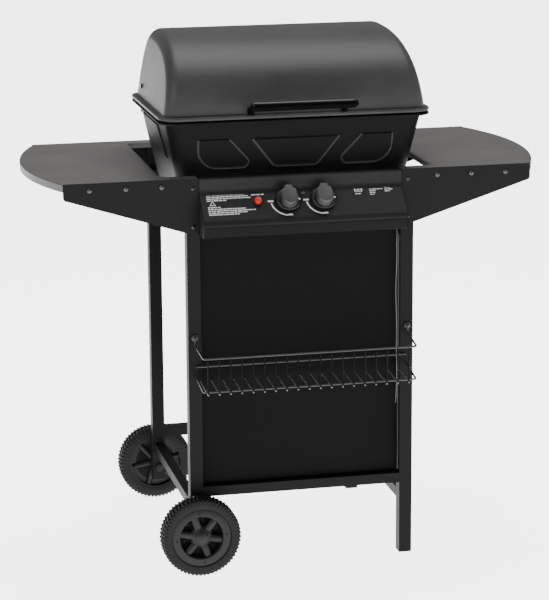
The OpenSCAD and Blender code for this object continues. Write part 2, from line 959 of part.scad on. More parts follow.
// A thick round grip with tapered ends, on two sloping legs with round feet.
module lid_handle() {
  taper = 9;
  leg_r = 5.5;
  root_y = -201;
  coat([0.03, 0.03, 0.03]) difference() {
    union() {
      rod_x([taper - handle_end, handle_y, handle_z], 2 * (handle_end - taper), handle_r);
      both_sides() {
        translate([handle_end - taper, handle_y, handle_z]) rotate([0, 90, 0])
          cylinder(h = taper, r1 = handle_r, r2 = handle_r / 2);
        bar([handle_x, handle_y, handle_z], [handle_x, root_y, foot_z + 1], leg_r);
        rod_y([handle_x, -207, foot_z], 207.4 + lid_front, 7);
      }
    }
    both_sides() rod_y([handle_x, -206, foot_z], 20, hole_r);
  }
}

module handle_screws() {
  seat = lid_front + lid_t + 1.4;
  coat(steel) both_sides() {
    rod_y([handle_x, -205, foot_z], seat + 205.5, screw_r);
    rod_y([handle_x, seat, foot_z], 2.2, head_r);
  }
}

module lid_side_screws() {
  out = lid_x - lid_lean * (side_screw_z - lid_base) + 0.9;
  coat(dark) both_sides() {
    rod_x([out - 9, side_screw_y, side_screw_z], 9.5, screw_r);
    rod_x([out, side_screw_y, side_screw_z], 2, head_r);
    rod_x([out - 9, side_screw_y, side_screw_z], 3.5, 4);
  }
}

// ---- basket ----

module basket_frame() {
  end_y = basket_hook_y + 0.35;
  top_path = [[end_y, basket_screw_z - 4], [end_y, basket_screw_z - 12],
    [basket_front_y - basket_lean, basket_top_z + wire_r]];
  low_path = [[end_y + 3, basket_floor_z + 9], [basket_front_y, basket_low_z + wire_r]];
  coat(dark) {
    rod_x([-basket_x, basket_back_y, basket_wall_z], 2 * basket_x, wire_r);
    for (w = [[basket_front_y - basket_lean, basket_top_z], [basket_front_y, basket_low_z]]) {
      rod_x([-basket_x - 1, w.x, w.y], 2 * basket_x + 2, wire_r);
    }
    both_sides() {
      along_x(basket_x, basket_x + 2 * wire_r) {
        polygon(ribbon(top_path, 2 * wire_r));
        polygon(ribbon(low_path, 2 * wire_r));
      }
      difference() {
        rod_y([basket_arm_x, basket_hook_y, basket_screw_z], 4.2, 6.5);
        rod_y([basket_arm_x, basket_hook_y - 5, basket_screw_z], 10, hole_r + 0.3);
      }
    }
  }
}

module basket_ribs() {
  back = basket_back_y + wire_r;
  low = basket_low_z - wire_r - 0.3;
  path = [[back, basket_wall_z + 1.5], [back, basket_floor_z],
    [basket_front_y - wire_r - 0.1, low],
    [basket_front_y - wire_r - 0.2, basket_top_z - wire_r - 0.1]];
  coat(dark) for (i = [0:rib_n - 1]) {
    x = rib_x0 + i * rib_step;
    along_x(x - rib_r, x + rib_r) polygon(ribbon(path, 2 * rib_r));
  }
}

module basket_screws() {
  coat(dark) for (s = [-1, 1]) {
    screw(s * basket_arm_x, basket_hook_y, basket_screw_z, 12, screw_r, 4.5);
  }
}

// ---- wheels ----

// The wheel's own frame: the axle is the Z axis and the outer face is on top.
module at_wheel(s) {
  translate([-leg_cx, s * wheel_out, axle_z]) rotate([s > 0 ? -90 : 90, 0, 0])
    translate([0, 0, -wheel_w]) children();
}

module tyre() {
  in = 54;
  c = 5;
  difference() {
    rotate_extrude($fn = 120) polygon([[in, 2], [wheel_r - c, 0], [wheel_r - 1.2, 2],
      [wheel_r, c], [wheel_r, wheel_w - c], [wheel_r - 1.2, wheel_w - 2],
      [wheel_r - c, wheel_w], [in, wheel_w - 2]]);
    translate([0, 0, wheel_w - 1.5]) difference() {
      cylinder(h = 5, r = 61.5);
      translate([0, 0, -1]) cylinder(h = 7, r = 59.5);
    }
  }
}

module hub() {
  hub_len = wheel_out - leg_y - 1;
  face = wheel_w - 3;
  spoke_top = face - 3.5;
  difference() {
    union() {
      difference() {
        translate([0, 0, 3]) cylinder(h = face - 3, r = 54);
        translate([0, 0, 2]) cylinder(h = face, r = 46);
      }
      translate([0, 0, 12]) cylinder(h = 5, r = 47);
      translate([0, 0, wheel_w - hub_len]) cylinder(h = hub_len - 5, r = 14);
      for (i = [0:5]) rotate([0, 0, 60 * i]) {
        translate([12, -6.5, 13]) cube([36, 13, spoke_top - 13]);
      }
    }
    translate([0, 0, wheel_w - hub_len - 5]) cylinder(h = 60, r = axle_r);
    translate([0, 0, wheel_w - 10]) cylinder(h = 10, r = 11);
    for (i = [0:3]) rotate([0, 0, 45 + 90 * i]) translate([50, 0, face - 4])
      cylinder(h = 8, r = 1.6);
  }
}

// The cap's rim sits over the end of the hub's boss.
module hub_cap() {
  z = wheel_w - 5;
  difference() {
    union() {
      translate([0, 0, z]) cylinder(h = 2, r = 15);
      translate([0, 0, z + 2]) cylinder(h = 1.6, r1 = 15, r2 = 12);
      translate([0, 0, z + 3.6]) cylinder(h = 1.4, r1 = 12, r2 = 7);
    }
    translate([0, 0, z - 1]) cylinder(h = 3, r = 9);
  }
}

module front_tyre() {
  coat(rubber) at_wheel(-1) tyre();
}

module front_hub() {
  coat(plastic) at_wheel(-1) hub();
}

module front_hub_cap() {
  coat(plastic) at_wheel(-1) hub_cap();
}

module rear_tyre() {
  coat(rubber) at_wheel(1) tyre();
}

module rear_hub() {
  coat(plastic) at_wheel(1) hub();
}

module rear_hub_cap() {
  coat(plastic) at_wheel(1) hub_cap();
}

module axle_bolts() {
  head = wheel_out - 6.2;
  in = leg_y - leg_w;
  coat(steel) front_and_back() {
    rod_y([-leg_cx, -head, axle_z], head - in + 8, bolt_r);
    rod_y([-leg_cx, -head, axle_z], 3.5, 8.5);
    difference() {
      translate([-leg_cx, -in, axle_z]) rotate([-90, 0, 0]) cylinder(h = 6, r = 9, $fn = 6);
      rod_y([-leg_cx, -in - 1, axle_z], 8, axle_r);
    }
  }
}

// ---- assembly ----

left_front_leg();
right_front_leg();
left_rear_leg();
right_rear_leg();
foot_caps();
front_bottom_rail();
rear_bottom_rail();
left_bottom_rail();
right_bottom_rail();
left_top_rail();
right_top_rail();
rear_top_rail();
front_top_rail();
left_side_table();
right_side_table();
left_front_bracket();
right_front_bracket();
left_rear_bracket();
right_rear_bracket();
table_screws();
leg_screws();
front_panel();
control_panel();
panel_screw();
left_gas_valve();
right_gas_valve();
gas_manifold();
left_burner();
right_burner();
igniter_body();
igniter_electrode();
basket_frame();
basket_ribs();
basket_screws();
axle_bolts();
firebox();
firebox_bolts();
hinge_pins();
left_flame_tamer();
right_flame_tamer();
warming_rack();
rack_screws();
cup_holder();
grease_cup();
cooking_grate();
lid_shell();
lid_handle();
handle_screws();
lid_side_screws();
left_knob();
left_valve_stem();
right_knob();
right_valve_stem();
igniter_button();
front_tyre();
front_hub();
front_hub_cap();
rear_tyre();
rear_hub();
rear_hub_cap();
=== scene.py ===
# The looks of the two-burner gas barbecue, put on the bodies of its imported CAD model.
# Lengths are millimetres on part.scad's axes: X to the right seen from the front, Y to the
# back from the middle of the leg frame, Z up from the floor. at() turns a point into metres
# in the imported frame. Where a sign stands for a side, -1 is left or front, +1 right or rear.
import math
import random
import bpy
import bmesh
from mathutils import Matrix, Vector, noise


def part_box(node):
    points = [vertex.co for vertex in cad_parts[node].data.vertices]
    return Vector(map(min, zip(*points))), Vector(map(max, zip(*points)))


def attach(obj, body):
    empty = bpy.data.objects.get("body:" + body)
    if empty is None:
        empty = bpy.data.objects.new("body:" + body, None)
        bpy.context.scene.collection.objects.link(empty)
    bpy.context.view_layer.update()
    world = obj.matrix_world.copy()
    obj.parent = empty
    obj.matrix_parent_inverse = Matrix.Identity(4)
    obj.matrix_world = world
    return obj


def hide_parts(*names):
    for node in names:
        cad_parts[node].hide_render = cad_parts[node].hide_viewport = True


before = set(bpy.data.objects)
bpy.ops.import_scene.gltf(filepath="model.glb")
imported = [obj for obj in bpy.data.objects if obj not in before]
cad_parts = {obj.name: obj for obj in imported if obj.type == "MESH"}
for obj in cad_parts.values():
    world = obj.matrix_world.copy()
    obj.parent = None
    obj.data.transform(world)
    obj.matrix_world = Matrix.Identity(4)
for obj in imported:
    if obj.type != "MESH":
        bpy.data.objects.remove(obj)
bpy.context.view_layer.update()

SHIFT_Y = 18.0          # how far the leg frame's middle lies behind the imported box's middle
MM = 0.001
SIDES = (-1, 1)


def at(x, y, z):
    return Vector((x * MM, (y + SHIFT_Y) * MM, z * MM))


def edge(node, side):
    """One side of a CAD node's box at rest: edge("lid_shell", "+z") is the height of its top."""
    axis = "xyz".index(side[1])
    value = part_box(node)[side[0] == "+"][axis] / MM
    return round(value - SHIFT_Y if axis == 1 else value, 3)


def middle(node, axis):
    """The middle of a CAD node's box at rest along one axis."""
    return (edge(node, "-" + axis) + edge(node, "+" + axis)) / 2


LEG_X, LEG_Y = edge("right_rear_leg", "+x"), edge("right_rear_leg", "+y")
LEG_W = LEG_X - edge("right_rear_leg", "-x")


# ---------------------------------------------------------------- materials

def new_material(name):
    mat = bpy.data.materials.new(name)
    mat.use_nodes = True
    tree = mat.node_tree
    tree.nodes.clear()
    out = tree.nodes.new("ShaderNodeOutputMaterial")
    shader = tree.nodes.new("ShaderNodeBsdfPrincipled")
    tree.links.new(shader.outputs[0], out.inputs[0])
    return mat, tree, shader


def coords(tree):
    return tree.nodes.new("ShaderNodeTexCoord").outputs["Object"]


def noise_node(tree, vector, scale, detail):
    texture = tree.nodes.new("ShaderNodeTexNoise")
    texture.inputs["Scale"].default_value = scale
    texture.inputs["Detail"].default_value = detail
    texture.inputs["Roughness"].default_value = 0.55
    tree.links.new(vector, texture.inputs["Vector"])
    return texture.outputs[0]


def remap(tree, value, low, high):
    """Spreads the middle of a noise, 0.3 to 0.7, over low to high."""
    spread = tree.nodes.new("ShaderNodeMapRange")
    spread.inputs["From Min"].default_value = 0.3
    spread.inputs["From Max"].default_value = 0.7
    spread.inputs["To Min"].default_value = low
    spread.inputs["To Max"].default_value = high
    tree.links.new(value, spread.inputs["Value"])
    return spread.outputs[0]


def ramp(tree, value, dark, light):
    """Turns the middle of a noise into colours between dark and light."""
    colors = tree.nodes.new("ShaderNodeValToRGB")
    for stop, position, color in zip(colors.color_ramp.elements, (0.35, 0.65), (dark, light)):
        stop.position = position
        stop.color = (*color, 1)
    tree.links.new(value, colors.inputs["Fac"])
    return colors.outputs["Color"]


def bump(tree, shader, height, strength, distance):
    node = tree.nodes.new("ShaderNodeBump")
    node.inputs["Strength"].default_value = strength
    node.inputs["Distance"].default_value = distance
    tree.links.new(height, node.inputs["Height"])
    tree.links.new(node.outputs["Normal"], shader.inputs["Normal"])


def shade(color, factor):
    return tuple(min(1.0, v * factor) for v in color)


def coated(name, color, rough, grain, depth, spread=0.12, spec=0.5, height=0.0002):
    """Paint or plastic with a fine grain, slight cloudiness and uneven gloss."""
    mat, tree, shader = new_material(name)
    vector = coords(tree)
    cloud = noise_node(tree, vector, 9.0, 4.0)
    grit = noise_node(tree, vector, grain, 2.0)
    shader.inputs["Metallic"].default_value = 0.0
    shader.inputs["Specular IOR Level"].default_value = spec
    tree.links.new(ramp(tree, cloud, shade(color, 1 - spread), shade(color, 1 + spread)),
                   shader.inputs["Base Color"])
    tree.links.new(remap(tree, cloud, rough * 0.92, rough * 1.08), shader.inputs["Roughness"])
    bump(tree, shader, grit, depth, height)
    return mat


def brushed(name, color, rough):
    """Bare or plated metal with fine lines along X."""
    mat, tree, shader = new_material(name)
    stretch = tree.nodes.new("ShaderNodeMapping")
    stretch.inputs["Scale"].default_value = (1.0, 60.0, 60.0)
    tree.links.new(coords(tree), stretch.inputs["Vector"])
    lines = noise_node(tree, stretch.outputs[0], 30.0, 4.0)
    shader.inputs["Metallic"].default_value = 1.0
    tree.links.new(ramp(tree, lines, shade(color, 0.82), color), shader.inputs["Base Color"])
    tree.links.new(remap(tree, lines, rough * 0.8, rough * 1.3), shader.inputs["Roughness"])
    bump(tree, shader, lines, 0.1, 0.0002)
    return mat


# Each has a colour in linear light and a roughness, and each paint also how fine and how strong
# its grain is.
FRAME = coated("frame_powder", (0.0034, 0.0034, 0.0036), 0.52, 1100, 0.2, spec=0.08)
PANEL = coated("panel_powder", (0.0080, 0.0080, 0.0083), 0.40, 1100, 0.2, spec=0.11)
# Painted shade: a darker copy of the panel powder for the panel faces that look down.
PANEL_UNDERSIDE_SHADE = coated("panel_underside_painted_shade", (0.0022, 0.0022, 0.0023), 0.5, 1100, 0.2, spec=0.05)
APRON = coated("bracket_powder", (0.0036, 0.0036, 0.0038), 0.42, 1100, 0.2, spec=0.08)
SHEET = coated("front_sheet_powder", (0.0017, 0.0017, 0.0019), 0.5, 1100, 0.15, spec=0.045)
# Painted highlight: the light line down the front sheet's right edge.
SHEET_HIGHLIGHT = coated("sheet_edge_painted_highlight", (0.22, 0.22, 0.22), 0.4, 900, 0.15, spec=0.3)
TABLE = coated("table_powder", (0.056, 0.0525, 0.0505), 0.46, 1300, 0.3, spec=0.2)
LID = coated("lid_powder", (0.022, 0.022, 0.0224), 0.42, 1500, 0.5, spec=0.15, height=0.0003)
BOX = coated("firebox_powder", (0.0030, 0.0030, 0.0032), 0.5, 1200, 0.3, spec=0.045)
# Painted highlight: a lighter copy of the firebox powder for the lit lower edges of its fields.
BOX_HIGHLIGHT = coated("firebox_edge_painted_highlight", (0.013, 0.013, 0.0133), 0.4, 1200, 0.3, spec=0.15)
WIRE = coated("wire_powder", (0.016, 0.016, 0.0165), 0.3, 900, 0.15, spec=0.3)
# Painted light and painted shade: a lighter copy of the wire powder for the floor wires, lit from above, and
# a darker one for the uprights, in shade.
WIRE_PAINTED_LIGHT = coated("wire_painted_highlight", (0.062, 0.062, 0.064), 0.26, 900, 0.15, spec=0.5)
WIRE_PAINTED_SHADE = coated("wire_shaded", (0.0022, 0.0022, 0.0024), 0.5, 900, 0.15, spec=0.05)
GLOSS = coated("handle_gloss", (0.0012, 0.0012, 0.0013), 0.18, 500, 0.05, spec=0.13)
# Painted shade: the handle's black without its gloss, for its underside, so that it does not mirror the
# glowing floor.
HANDLE_SHADE = coated("handle_underside_painted_shade", (0.0010, 0.0010, 0.0011), 0.4, 500, 0.05, spec=0.015)
KNOB = coated("knob_satin", (0.032, 0.032, 0.034), 0.34, 1200, 0.15, spec=0.25)
SKIRT = coated("knob_skirt", (0.0040, 0.0040, 0.0043), 0.3, 1200, 0.1, spec=0.2)
MARK = coated("printed_white", (0.50, 0.50, 0.49), 0.5, 900, 0.1, spread=0.04)
RED = coated("button_red", (0.42, 0.012, 0.007), 0.25, 500, 0.05, spec=0.3)
PLUG = coated("cap_plastic", (0.004, 0.004, 0.004), 0.5, 700, 0.2, spec=0.15)
TYRE = coated("tyre_plastic", (0.0062, 0.0062, 0.0062), 0.5, 600, 0.3, spec=0.1)
HUB = coated("hub_plastic", (0.0075, 0.0075, 0.0078), 0.4, 600, 0.2, spec=0.15)
# Painted shade: a darker copy of the hub plastic for the recess behind the spokes.
HUB_SHADE = coated("hub_recess_painted_shade", (0.002, 0.002, 0.002), 0.6, 600, 0.2, spec=0.1)
BLACK_SCREW = coated("black_screw", (0.004, 0.004, 0.004), 0.22, 700, 0.1, spec=0.3)
CERAMIC = coated("ceramic", (0.78, 0.76, 0.7), 0.25, 400, 0.05, spread=0.04)
SCREW = brushed("bright_zinc", (0.36, 0.36, 0.37), 0.24)
DULL_SCREW = brushed("dull_zinc", (0.055, 0.055, 0.057), 0.28)
STEEL = brushed("plated_steel", (0.58, 0.58, 0.57), 0.34)
CHROME = brushed("plated_wire", (0.7, 0.7, 0.71), 0.2)
BRASS = brushed("brass", (0.66, 0.5, 0.22), 0.32)


# ---------------------------------------------------------------- mesh helpers

def finish_mesh(bm, name, material, sharp=40.0):
    """Turns a bmesh into an object, smooth except at edges sharper than the limit in degrees."""
    bmesh.ops.remove_doubles(bm, verts=bm.verts, dist=1e-6)
    bmesh.ops.recalc_face_normals(bm, faces=bm.faces)
    for face in bm.faces:
        face.smooth = True
    for side in bm.edges:
        if len(side.link_faces) == 2 and side.calc_face_angle(0.0) > math.radians(sharp):
            side.smooth = False
    mesh = bpy.data.meshes.new(name)
    bm.to_mesh(mesh)
    bm.free()
    mesh.materials.append(material)
    piece = bpy.data.objects.new(name, mesh)
    bpy.context.scene.collection.objects.link(piece)
    return piece


def from_cad(node, material, width, segments):
    """A clean copy of a CAD node: faces merged, edges rounded to the width in millimetres."""
    bm = bmesh.new()
    bm.from_mesh(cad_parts[node].data)
    bmesh.ops.remove_doubles(bm, verts=bm.verts, dist=2e-6)
    bmesh.ops.dissolve_limit(bm, angle_limit=math.radians(0.5), verts=bm.verts, edges=bm.edges)
    piece = finish_mesh(bm, "look_" + node, material, 30)
    bevel = piece.modifiers.new("bevel", "BEVEL")
    bevel.width = width * MM
    bevel.segments = segments
    bevel.limit_method = "ANGLE"
    bevel.angle_limit = math.radians(32)
    bevel.harden_normals = True
    return piece


def place(piece, body, node=None):
    """Puts a piece on its body and hides the CAD node that it stands for, if one is given."""
    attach(piece, body)
    if node:
        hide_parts(node)


def keep_flat_faces(piece):
    """Weights the shading by face area, so that the flat of a folded sheet looks flat."""
    piece.modifiers.new("weighted", "WEIGHTED_NORMAL").keep_sharp = True


def paint_faces(piece, material, wanted):
    """Gives a second material to the faces whose normal passes the test."""
    piece.data.materials.append(material)
    for face in piece.data.polygons:
        if wanted(face.normal):
            face.material_index = 1


def grid_faces(bm, rows, close_u=False, close_v=False):
    """Quads between rows of vertices."""
    nv, nu = len(rows), len(rows[0])
    for j in range(nv if close_v else nv - 1):
        for i in range(nu if close_u else nu - 1):
            a, b = rows[j][i], rows[j][(i + 1) % nu]
            c, d = rows[(j + 1) % nv][(i + 1) % nu], rows[(j + 1) % nv][i]
            if len({a, b, c, d}) == 4:
                bm.faces.new((a, b, c, d))


def hexahedron(bm, points):
    """Six faces on eight points, listed with x changing fastest and z slowest."""
    verts = [bm.verts.new(p) for p in points]
    for quad in ((0, 1, 3, 2), (4, 6, 7, 5), (0, 4, 5, 1), (2, 3, 7, 6), (0, 2, 6, 4), (1, 5, 7, 3)):
        bm.faces.new([verts[i] for i in quad])


def block(bm, low, high):
    hexahedron(bm, [at(x, y, z) for z in (low[2], high[2])
                    for y in (low[1], high[1]) for x in (low[0], high[0])])


def tube(bm, points, r, sides, closed=False):
    """Round bar of radius r mm along a list of points, with flat ends unless it closes on itself."""
    n = len(points)
    rows, up = [], None
    for i, p in enumerate(points):
        before = points[(i - 1) % n] if closed or i else p
        after = points[(i + 1) % n] if closed or i < n - 1 else p
        along = (after - before).normalized()
        if up is None:
            up = along.orthogonal().normalized()
        up = (up - along * up.dot(along)).normalized()
        across = along.cross(up)
        turns = [math.tau * k / sides for k in range(sides)]
        rows.append([bm.verts.new(p + (up * math.cos(t) + across * math.sin(t)) * r * MM) for t in turns])
    grid_faces(bm, rows, close_u=True, close_v=closed)
    if not closed:
        bm.faces.new(rows[0][::-1])
        bm.faces.new(rows[-1])


def bend(corner, before, after, reach, steps):
    """Points of a smooth bend that cuts a corner at the given reach along both of its sides."""
    start = corner + (before - corner).normalized() * reach
    end = corner + (after - corner).normalized() * reach
    shares = [k / steps for k in range(steps + 1)]
    return [start * (1 - t) ** 2 + corner * 2 * t * (1 - t) + end * t * t for t in shares]


def rounded_path(points, r, steps=6):
    """The points with each inner corner replaced by a bend that reaches r mm."""
    out = [points[0].copy()]
    for before, corner, after in zip(points, points[1:], points[2:]):
        reach = min(r * MM, (before - corner).length * 0.49, (after - corner).length * 0.49)
        out += bend(corner, before, after, reach, steps)
    return out + [points[-1].copy()]


def turned(matrix, r, angle, h):
    """The point at radius r, angle and height h about the local Z axis of a matrix."""
    return matrix @ (Vector((r * math.cos(angle), r * math.sin(angle), h)) * MM)


def lathe(bm, profile, matrix, steps, close=False):
    """Turns (radius, height) points about the local Z axis of a matrix."""
    rows = [[bm.verts.new(turned(matrix, r, math.tau * k / steps, h)) for r, h in profile]
            for k in range(steps)]
    grid_faces(bm, rows, close_u=close, close_v=True)


def rounded_rect(x0, y0, x1, y1, r, corner, side=1):
    """Points round a rectangle, counterclockwise, the same count for any size."""
    out = []
    corners = [(x1 - r, y0 + r, -90), (x1 - r, y1 - r, 0), (x0 + r, y1 - r, 90), (x0 + r, y0 + r, 180)]
    for (cx, cy, first), (next_x, next_y, next_first) in zip(corners, corners[1:] + corners[:1]):
        out += arc(cx, cy, r, r, first, first + 90, corner)
        start_x, start_y = out[-1]
        end_x = next_x + r * math.cos(math.radians(next_first))
        end_y = next_y + r * math.sin(math.radians(next_first))
        for k in range(1, side):
            out.append((start_x + (end_x - start_x) * k / side, start_y + (end_y - start_y) * k / side))
    return out


def arc(cx, cy, rx, ry, first, last, steps):
    """Points of an elliptic arc between two angles in degrees."""
    angles = [math.radians(first + (last - first) * k / steps) for k in range(steps + 1)]
    return [(cx + rx * math.cos(a), cy + ry * math.sin(a)) for a in angles]


def smooth01(t):
    t = max(0.0, min(1.0, t))
    return t * t * (3 - 2 * t)


def rim_ring(bm, outer, inner, base, section):
    """Closed band: section holds (share of the way from inner to outer, height over base)."""
    rows = [[bm.verts.new(at(a[0] + (b[0] - a[0]) * t, a[1] + (b[1] - a[1]) * t, base + h))
             for a, b in zip(inner, outer)] for t, h in section]
    grid_faces(bm, rows, close_u=True, close_v=True)


# ---------------------------------------------------------------- rims and hinge

RIM_X, RIM_FRONT, RIM_BACK = edge("firebox", "+x"), edge("firebox", "-y"), 150.0
RIM_CORNER = 34
BOX_Z = edge("firebox", "-z")
RIM_Z = 868.0           # top of the firebox's rim
BOX_TOP = RIM_Z - 6
LID_BASE = RIM_Z + 1.5
HINGE_Y, HINGE_Z = middle("hinge_pins", "y"), middle("hinge_pins", "z")
LUG_IN, LUG_W, LUG_GAP = 222.0, 8.0, 0.5
LUG_PROFILE = [(4.1, 0), (7.4, 0), (8, 0.6), (8, 7.4), (7.4, 8), (4.1, 8)]


def hinge_lug(bm, x, root_low, root_high):
    """An eye round the hinge pin, its left side at x, and the root that joins it to its rim."""
    turn = Matrix.Rotation(math.pi / 2, 4, "Y")
    lathe(bm, LUG_PROFILE, Matrix.Translation(at(x, HINGE_Y, HINGE_Z)) @ turn, 32, True)
    block(bm, (x + 0.4, *root_low), (x + LUG_W - 0.4, *root_high))


# ---------------------------------------------------------------- lid

LID_TOP = edge("lid_shell", "+z")
LID_X, LID_FRONT, LID_BACK = 254.0, -195.0, 133.0
LID_PEAK = 50.0         # where along Y the lid is highest
LID_SQUARE = 2.55       # exponent of the barrel section; 2 is an ellipse
LID_R, LID_LEAN, LID_T = 22.0, 0.15, 2.5


def lid_point(around, tip, inset, side):
    """A point of the lid: around runs over the barrel from front to back, tip over its end edge."""
    c, s = math.cos(around), math.sin(around)
    drop = inset + LID_R * (1 - math.cos(tip))
    half = LID_PEAK - LID_FRONT if c > 0 else LID_BACK - LID_PEAK
    y = LID_PEAK - math.copysign((half - drop) * abs(c) ** (2 / LID_SQUARE), c)
    z = LID_BASE + (LID_TOP - LID_BASE - drop) * abs(s) ** (2 / LID_SQUARE)
    x = LID_X - inset - LID_R * (1 - math.sin(tip)) - LID_LEAN * (z - LID_BASE)
    return at(side * x, y, z)


def lid_rows(bm, inset):
    """Barrel sections from the left end to the right end of one skin of the lid."""
    around_steps, tip_steps, middle_steps = 84, 9, 12
    around = [math.pi * j / around_steps for j in range(around_steps + 1)]
    tips = [math.pi / 2 * i / tip_steps for i in range(tip_steps + 1)]
    flank = [lid_point(a, 0, inset, 1) for a in around]
    rows = [[bm.verts.new(lid_point(a, t, inset, -1)) for a in around] for t in tips[::-1]]
    for k in range(1, middle_steps):
        share = 2 * k / middle_steps - 1
        rows.append([bm.verts.new(Vector((p.x * share, p.y, p.z))) for p in flank])
    rows += [[bm.verts.new(lid_point(a, t, inset, 1)) for a in around] for t in tips]
    return rows


def build_lid_barrel():
    """Outer and inner skin, each closed by a fan at both ends and joined round the mouth."""
    bm = bmesh.new()
    skins = [lid_rows(bm, 0), lid_rows(bm, LID_T)]
    for rows in skins:
        grid_faces(bm, rows)
        for end in (rows[0], rows[-1]):
            centre = bm.verts.new(sum((v.co for v in end), Vector()) / len(end))
            for a, b in zip(end, end[1:] + end[:1]):
                bm.faces.new((a, b, centre))
    mouths = [[r[0] for r in rows] + [r[-1] for r in rows[::-1]] for rows in skins]
    grid_faces(bm, mouths, close_u=True)
    place(finish_mesh(bm, "lid_barrel", LID, 50), "lid", "lid_shell")


def build_lid_rim():
    bm = bmesh.new()
    outer = rounded_rect(-RIM_X, RIM_FRONT, RIM_X, RIM_BACK, RIM_CORNER, 14)
    inner = rounded_rect(2 - LID_X, LID_FRONT + 1.5, LID_X - 2, LID_BACK - 1.5, 26, 14)
    rim_ring(bm, outer, inner, LID_BASE, [
        (0, 7.5), (0.25, 7.5), (0.45, 6.5), (0.62, 7.1), (0.82, 7.4), (0.93, 6.7), (1, 5.1),
        (1, 2.5), (0.93, 0.7), (0.8, 0.1), (0.4, 0), (0, 0)])
    for x in (-LUG_IN - LUG_W, LUG_IN):
        hinge_lug(bm, x, (147, 870.5), (154, 876.8))
    place(finish_mesh(bm, "lid_rim", LID), "lid", None)


def build_handle():
    grip_end, grip_y, grip_z = edge("lid_handle", "+x"), -255.0, 900.5
    leg_x, leg_back, foot_z = 90.0, -201.0, 884.0
    bm = bmesh.new()
    grip = Matrix.Translation(at(0, grip_y, grip_z)) @ Matrix.Rotation(math.pi / 2, 4, "Y")
    half = [(r, grip_end - short) for r, short in (
        (0, 0.2), (2.6, 0.4), (4.6, 1.4), (6.4, 3.6), (7.9, 6.8), (8.8, 11), (8.95, 18))]
    lathe(bm, half + [(r, -h) for r, h in half[::-1]], grip, 32)
    for s in SIDES:
        tube(bm, [at(s * leg_x, grip_y, grip_z), at(s * leg_x, leg_back, foot_z + 1)], 5.5, 20)
        foot = Matrix.Translation(at(s * leg_x, LID_FRONT, foot_z)) @ Matrix.Rotation(math.pi / 2, 4, "X")
        lathe(bm, [(0, 0.2), (6.9, 0.2), (7, 1), (6.8, 7), (5.8, 10.5), (5.4, 11.8), (0, 11.8)], foot, 28)
    bar = finish_mesh(bm, "lid_handle_bar", GLOSS)
    # The faces that look down or sideways get the painted shade.
    paint_faces(bar, HANDLE_SHADE, lambda normal: normal.z < 0.3)
    place(bar, "lid", "lid_handle")


# ---------------------------------------------------------------- firebox

BOX_X, BOX_FRONT, BOX_BACK = 217.0, -158.0, 104.0      # at the floor of the firebox
DRAFT_X, DRAFT_Y = 31.0, 32.0                          # how much further out it is at BOX_TOP
SLOPE = 1.022           # length up the front wall for each millimetre of height
FIELD_H = 2.6           # how far the pressed fields stand out

WING = [(-129, 123), (-89, 78), (-96, 66)] + arc(-150, 104, 38, 38, 270, 180, 8) + [(-188, 123)]
TRAPEZOID = [(-84, 122), (84, 122), (42, 66), (-40, 66)]
FRONT_FIELDS = [WING, [(-u, v) for u, v in WING], TRAPEZOID]
SIDE_FIELDS = [[(-71, 138), (-106, 76), (84, 76), (90, 138)]]


def risen(z):
    """How far up the firebox a height is, from 0 to 1."""
    return (z - BOX_Z) / (BOX_TOP - BOX_Z)


def box_outline(z, inset=0.0):
    half = BOX_X + risen(z) * DRAFT_X - inset
    grow = risen(z) * DRAFT_Y - inset
    return rounded_rect(-half, BOX_FRONT - grow, half, BOX_BACK + grow, 28 - inset, 8, 150)


def inside_distance(px, py, outline):
    """Distance to a polygon's edge, positive inside."""
    best, inside = math.inf, False
    for (ax, ay), (bx, by) in zip(outline, outline[1:] + outline[:1]):
        dx, dy = bx - ax, by - ay
        t = max(0.0, min(1.0, ((px - ax) * dx + (py - ay) * dy) / (dx * dx + dy * dy)))
        best = min(best, math.hypot(px - ax - t * dx, py - ay - t * dy))
        if (ay > py) != (by > py) and px < ax + (py - ay) * dx / dy:
            inside = not inside
    return best if inside else -best


def relief(u, v, fields):
    """How far a wall stands out at a point, with a soft edge round each pressed field."""
    return FIELD_H * max(smooth01((inside_distance(u, v, field) + 0.8) / 2.2) for field in fields)


def on_front_wall(u, v, out):
    """A point on the front wall: v runs up the slope from the firebox's bottom edge."""
    z = BOX_Z + v / SLOPE
    return at(u, BOX_FRONT - risen(z) * DRAFT_Y - out, z)


def build_firebox_wall():
    levels = 84
    bm = bmesh.new()
    rows = []
    for j in range(levels + 1):
        z = BOX_Z + (BOX_TOP - BOX_Z) * j / levels
        front_y = BOX_FRONT - risen(z) * DRAFT_Y
        side_x = BOX_X + risen(z) * DRAFT_X
        v = (z - BOX_Z) * SLOPE
        row = []
        for x, y in box_outline(z):
            if abs(y - front_y) < 0.01:
                y -= relief(x, v, FRONT_FIELDS)
            elif abs(abs(x) - side_x) < 0.01:
                x += math.copysign(relief(y, v, SIDE_FIELDS), x)
            row.append(bm.verts.new(at(x, y, z)))
        rows.append(row)
    grid_faces(bm, rows, close_u=True)
    inner_rows = [[bm.verts.new(at(x, y, z)) for x, y in box_outline(z, 3)]
                  for z in (BOX_TOP, BOX_TOP - 60, BOX_Z + 3)]
    grid_faces(bm, inner_rows, close_u=True)
    grid_faces(bm, [rows[-1], inner_rows[0]], close_u=True)
    bm.faces.new(rows[0][::-1])
    bm.faces.new(inner_rows[-1])
    place(finish_mesh(bm, "firebox_wall", BOX), "stand", "firebox")


def build_firebox_beads():
    """Painted highlights: light ridges round the lower sides of the front wall's fields, where their edges
    catch the light.
    """
    bm = bmesh.new()
    wing = WING[-1:] + WING[-2:2:-1] + WING[2::-1]
    open_top = TRAPEZOID[:1] + TRAPEZOID[:0:-1]
    for line in (wing, [(-u, v) for u, v in wing], open_top):
        path = [on_front_wall(u, v, -0.5) for u, v in line]
        tube(bm, rounded_path(path, 8), 3.0, 16)
    place(finish_mesh(bm, "firebox_beads", BOX_HIGHLIGHT), "stand", None)


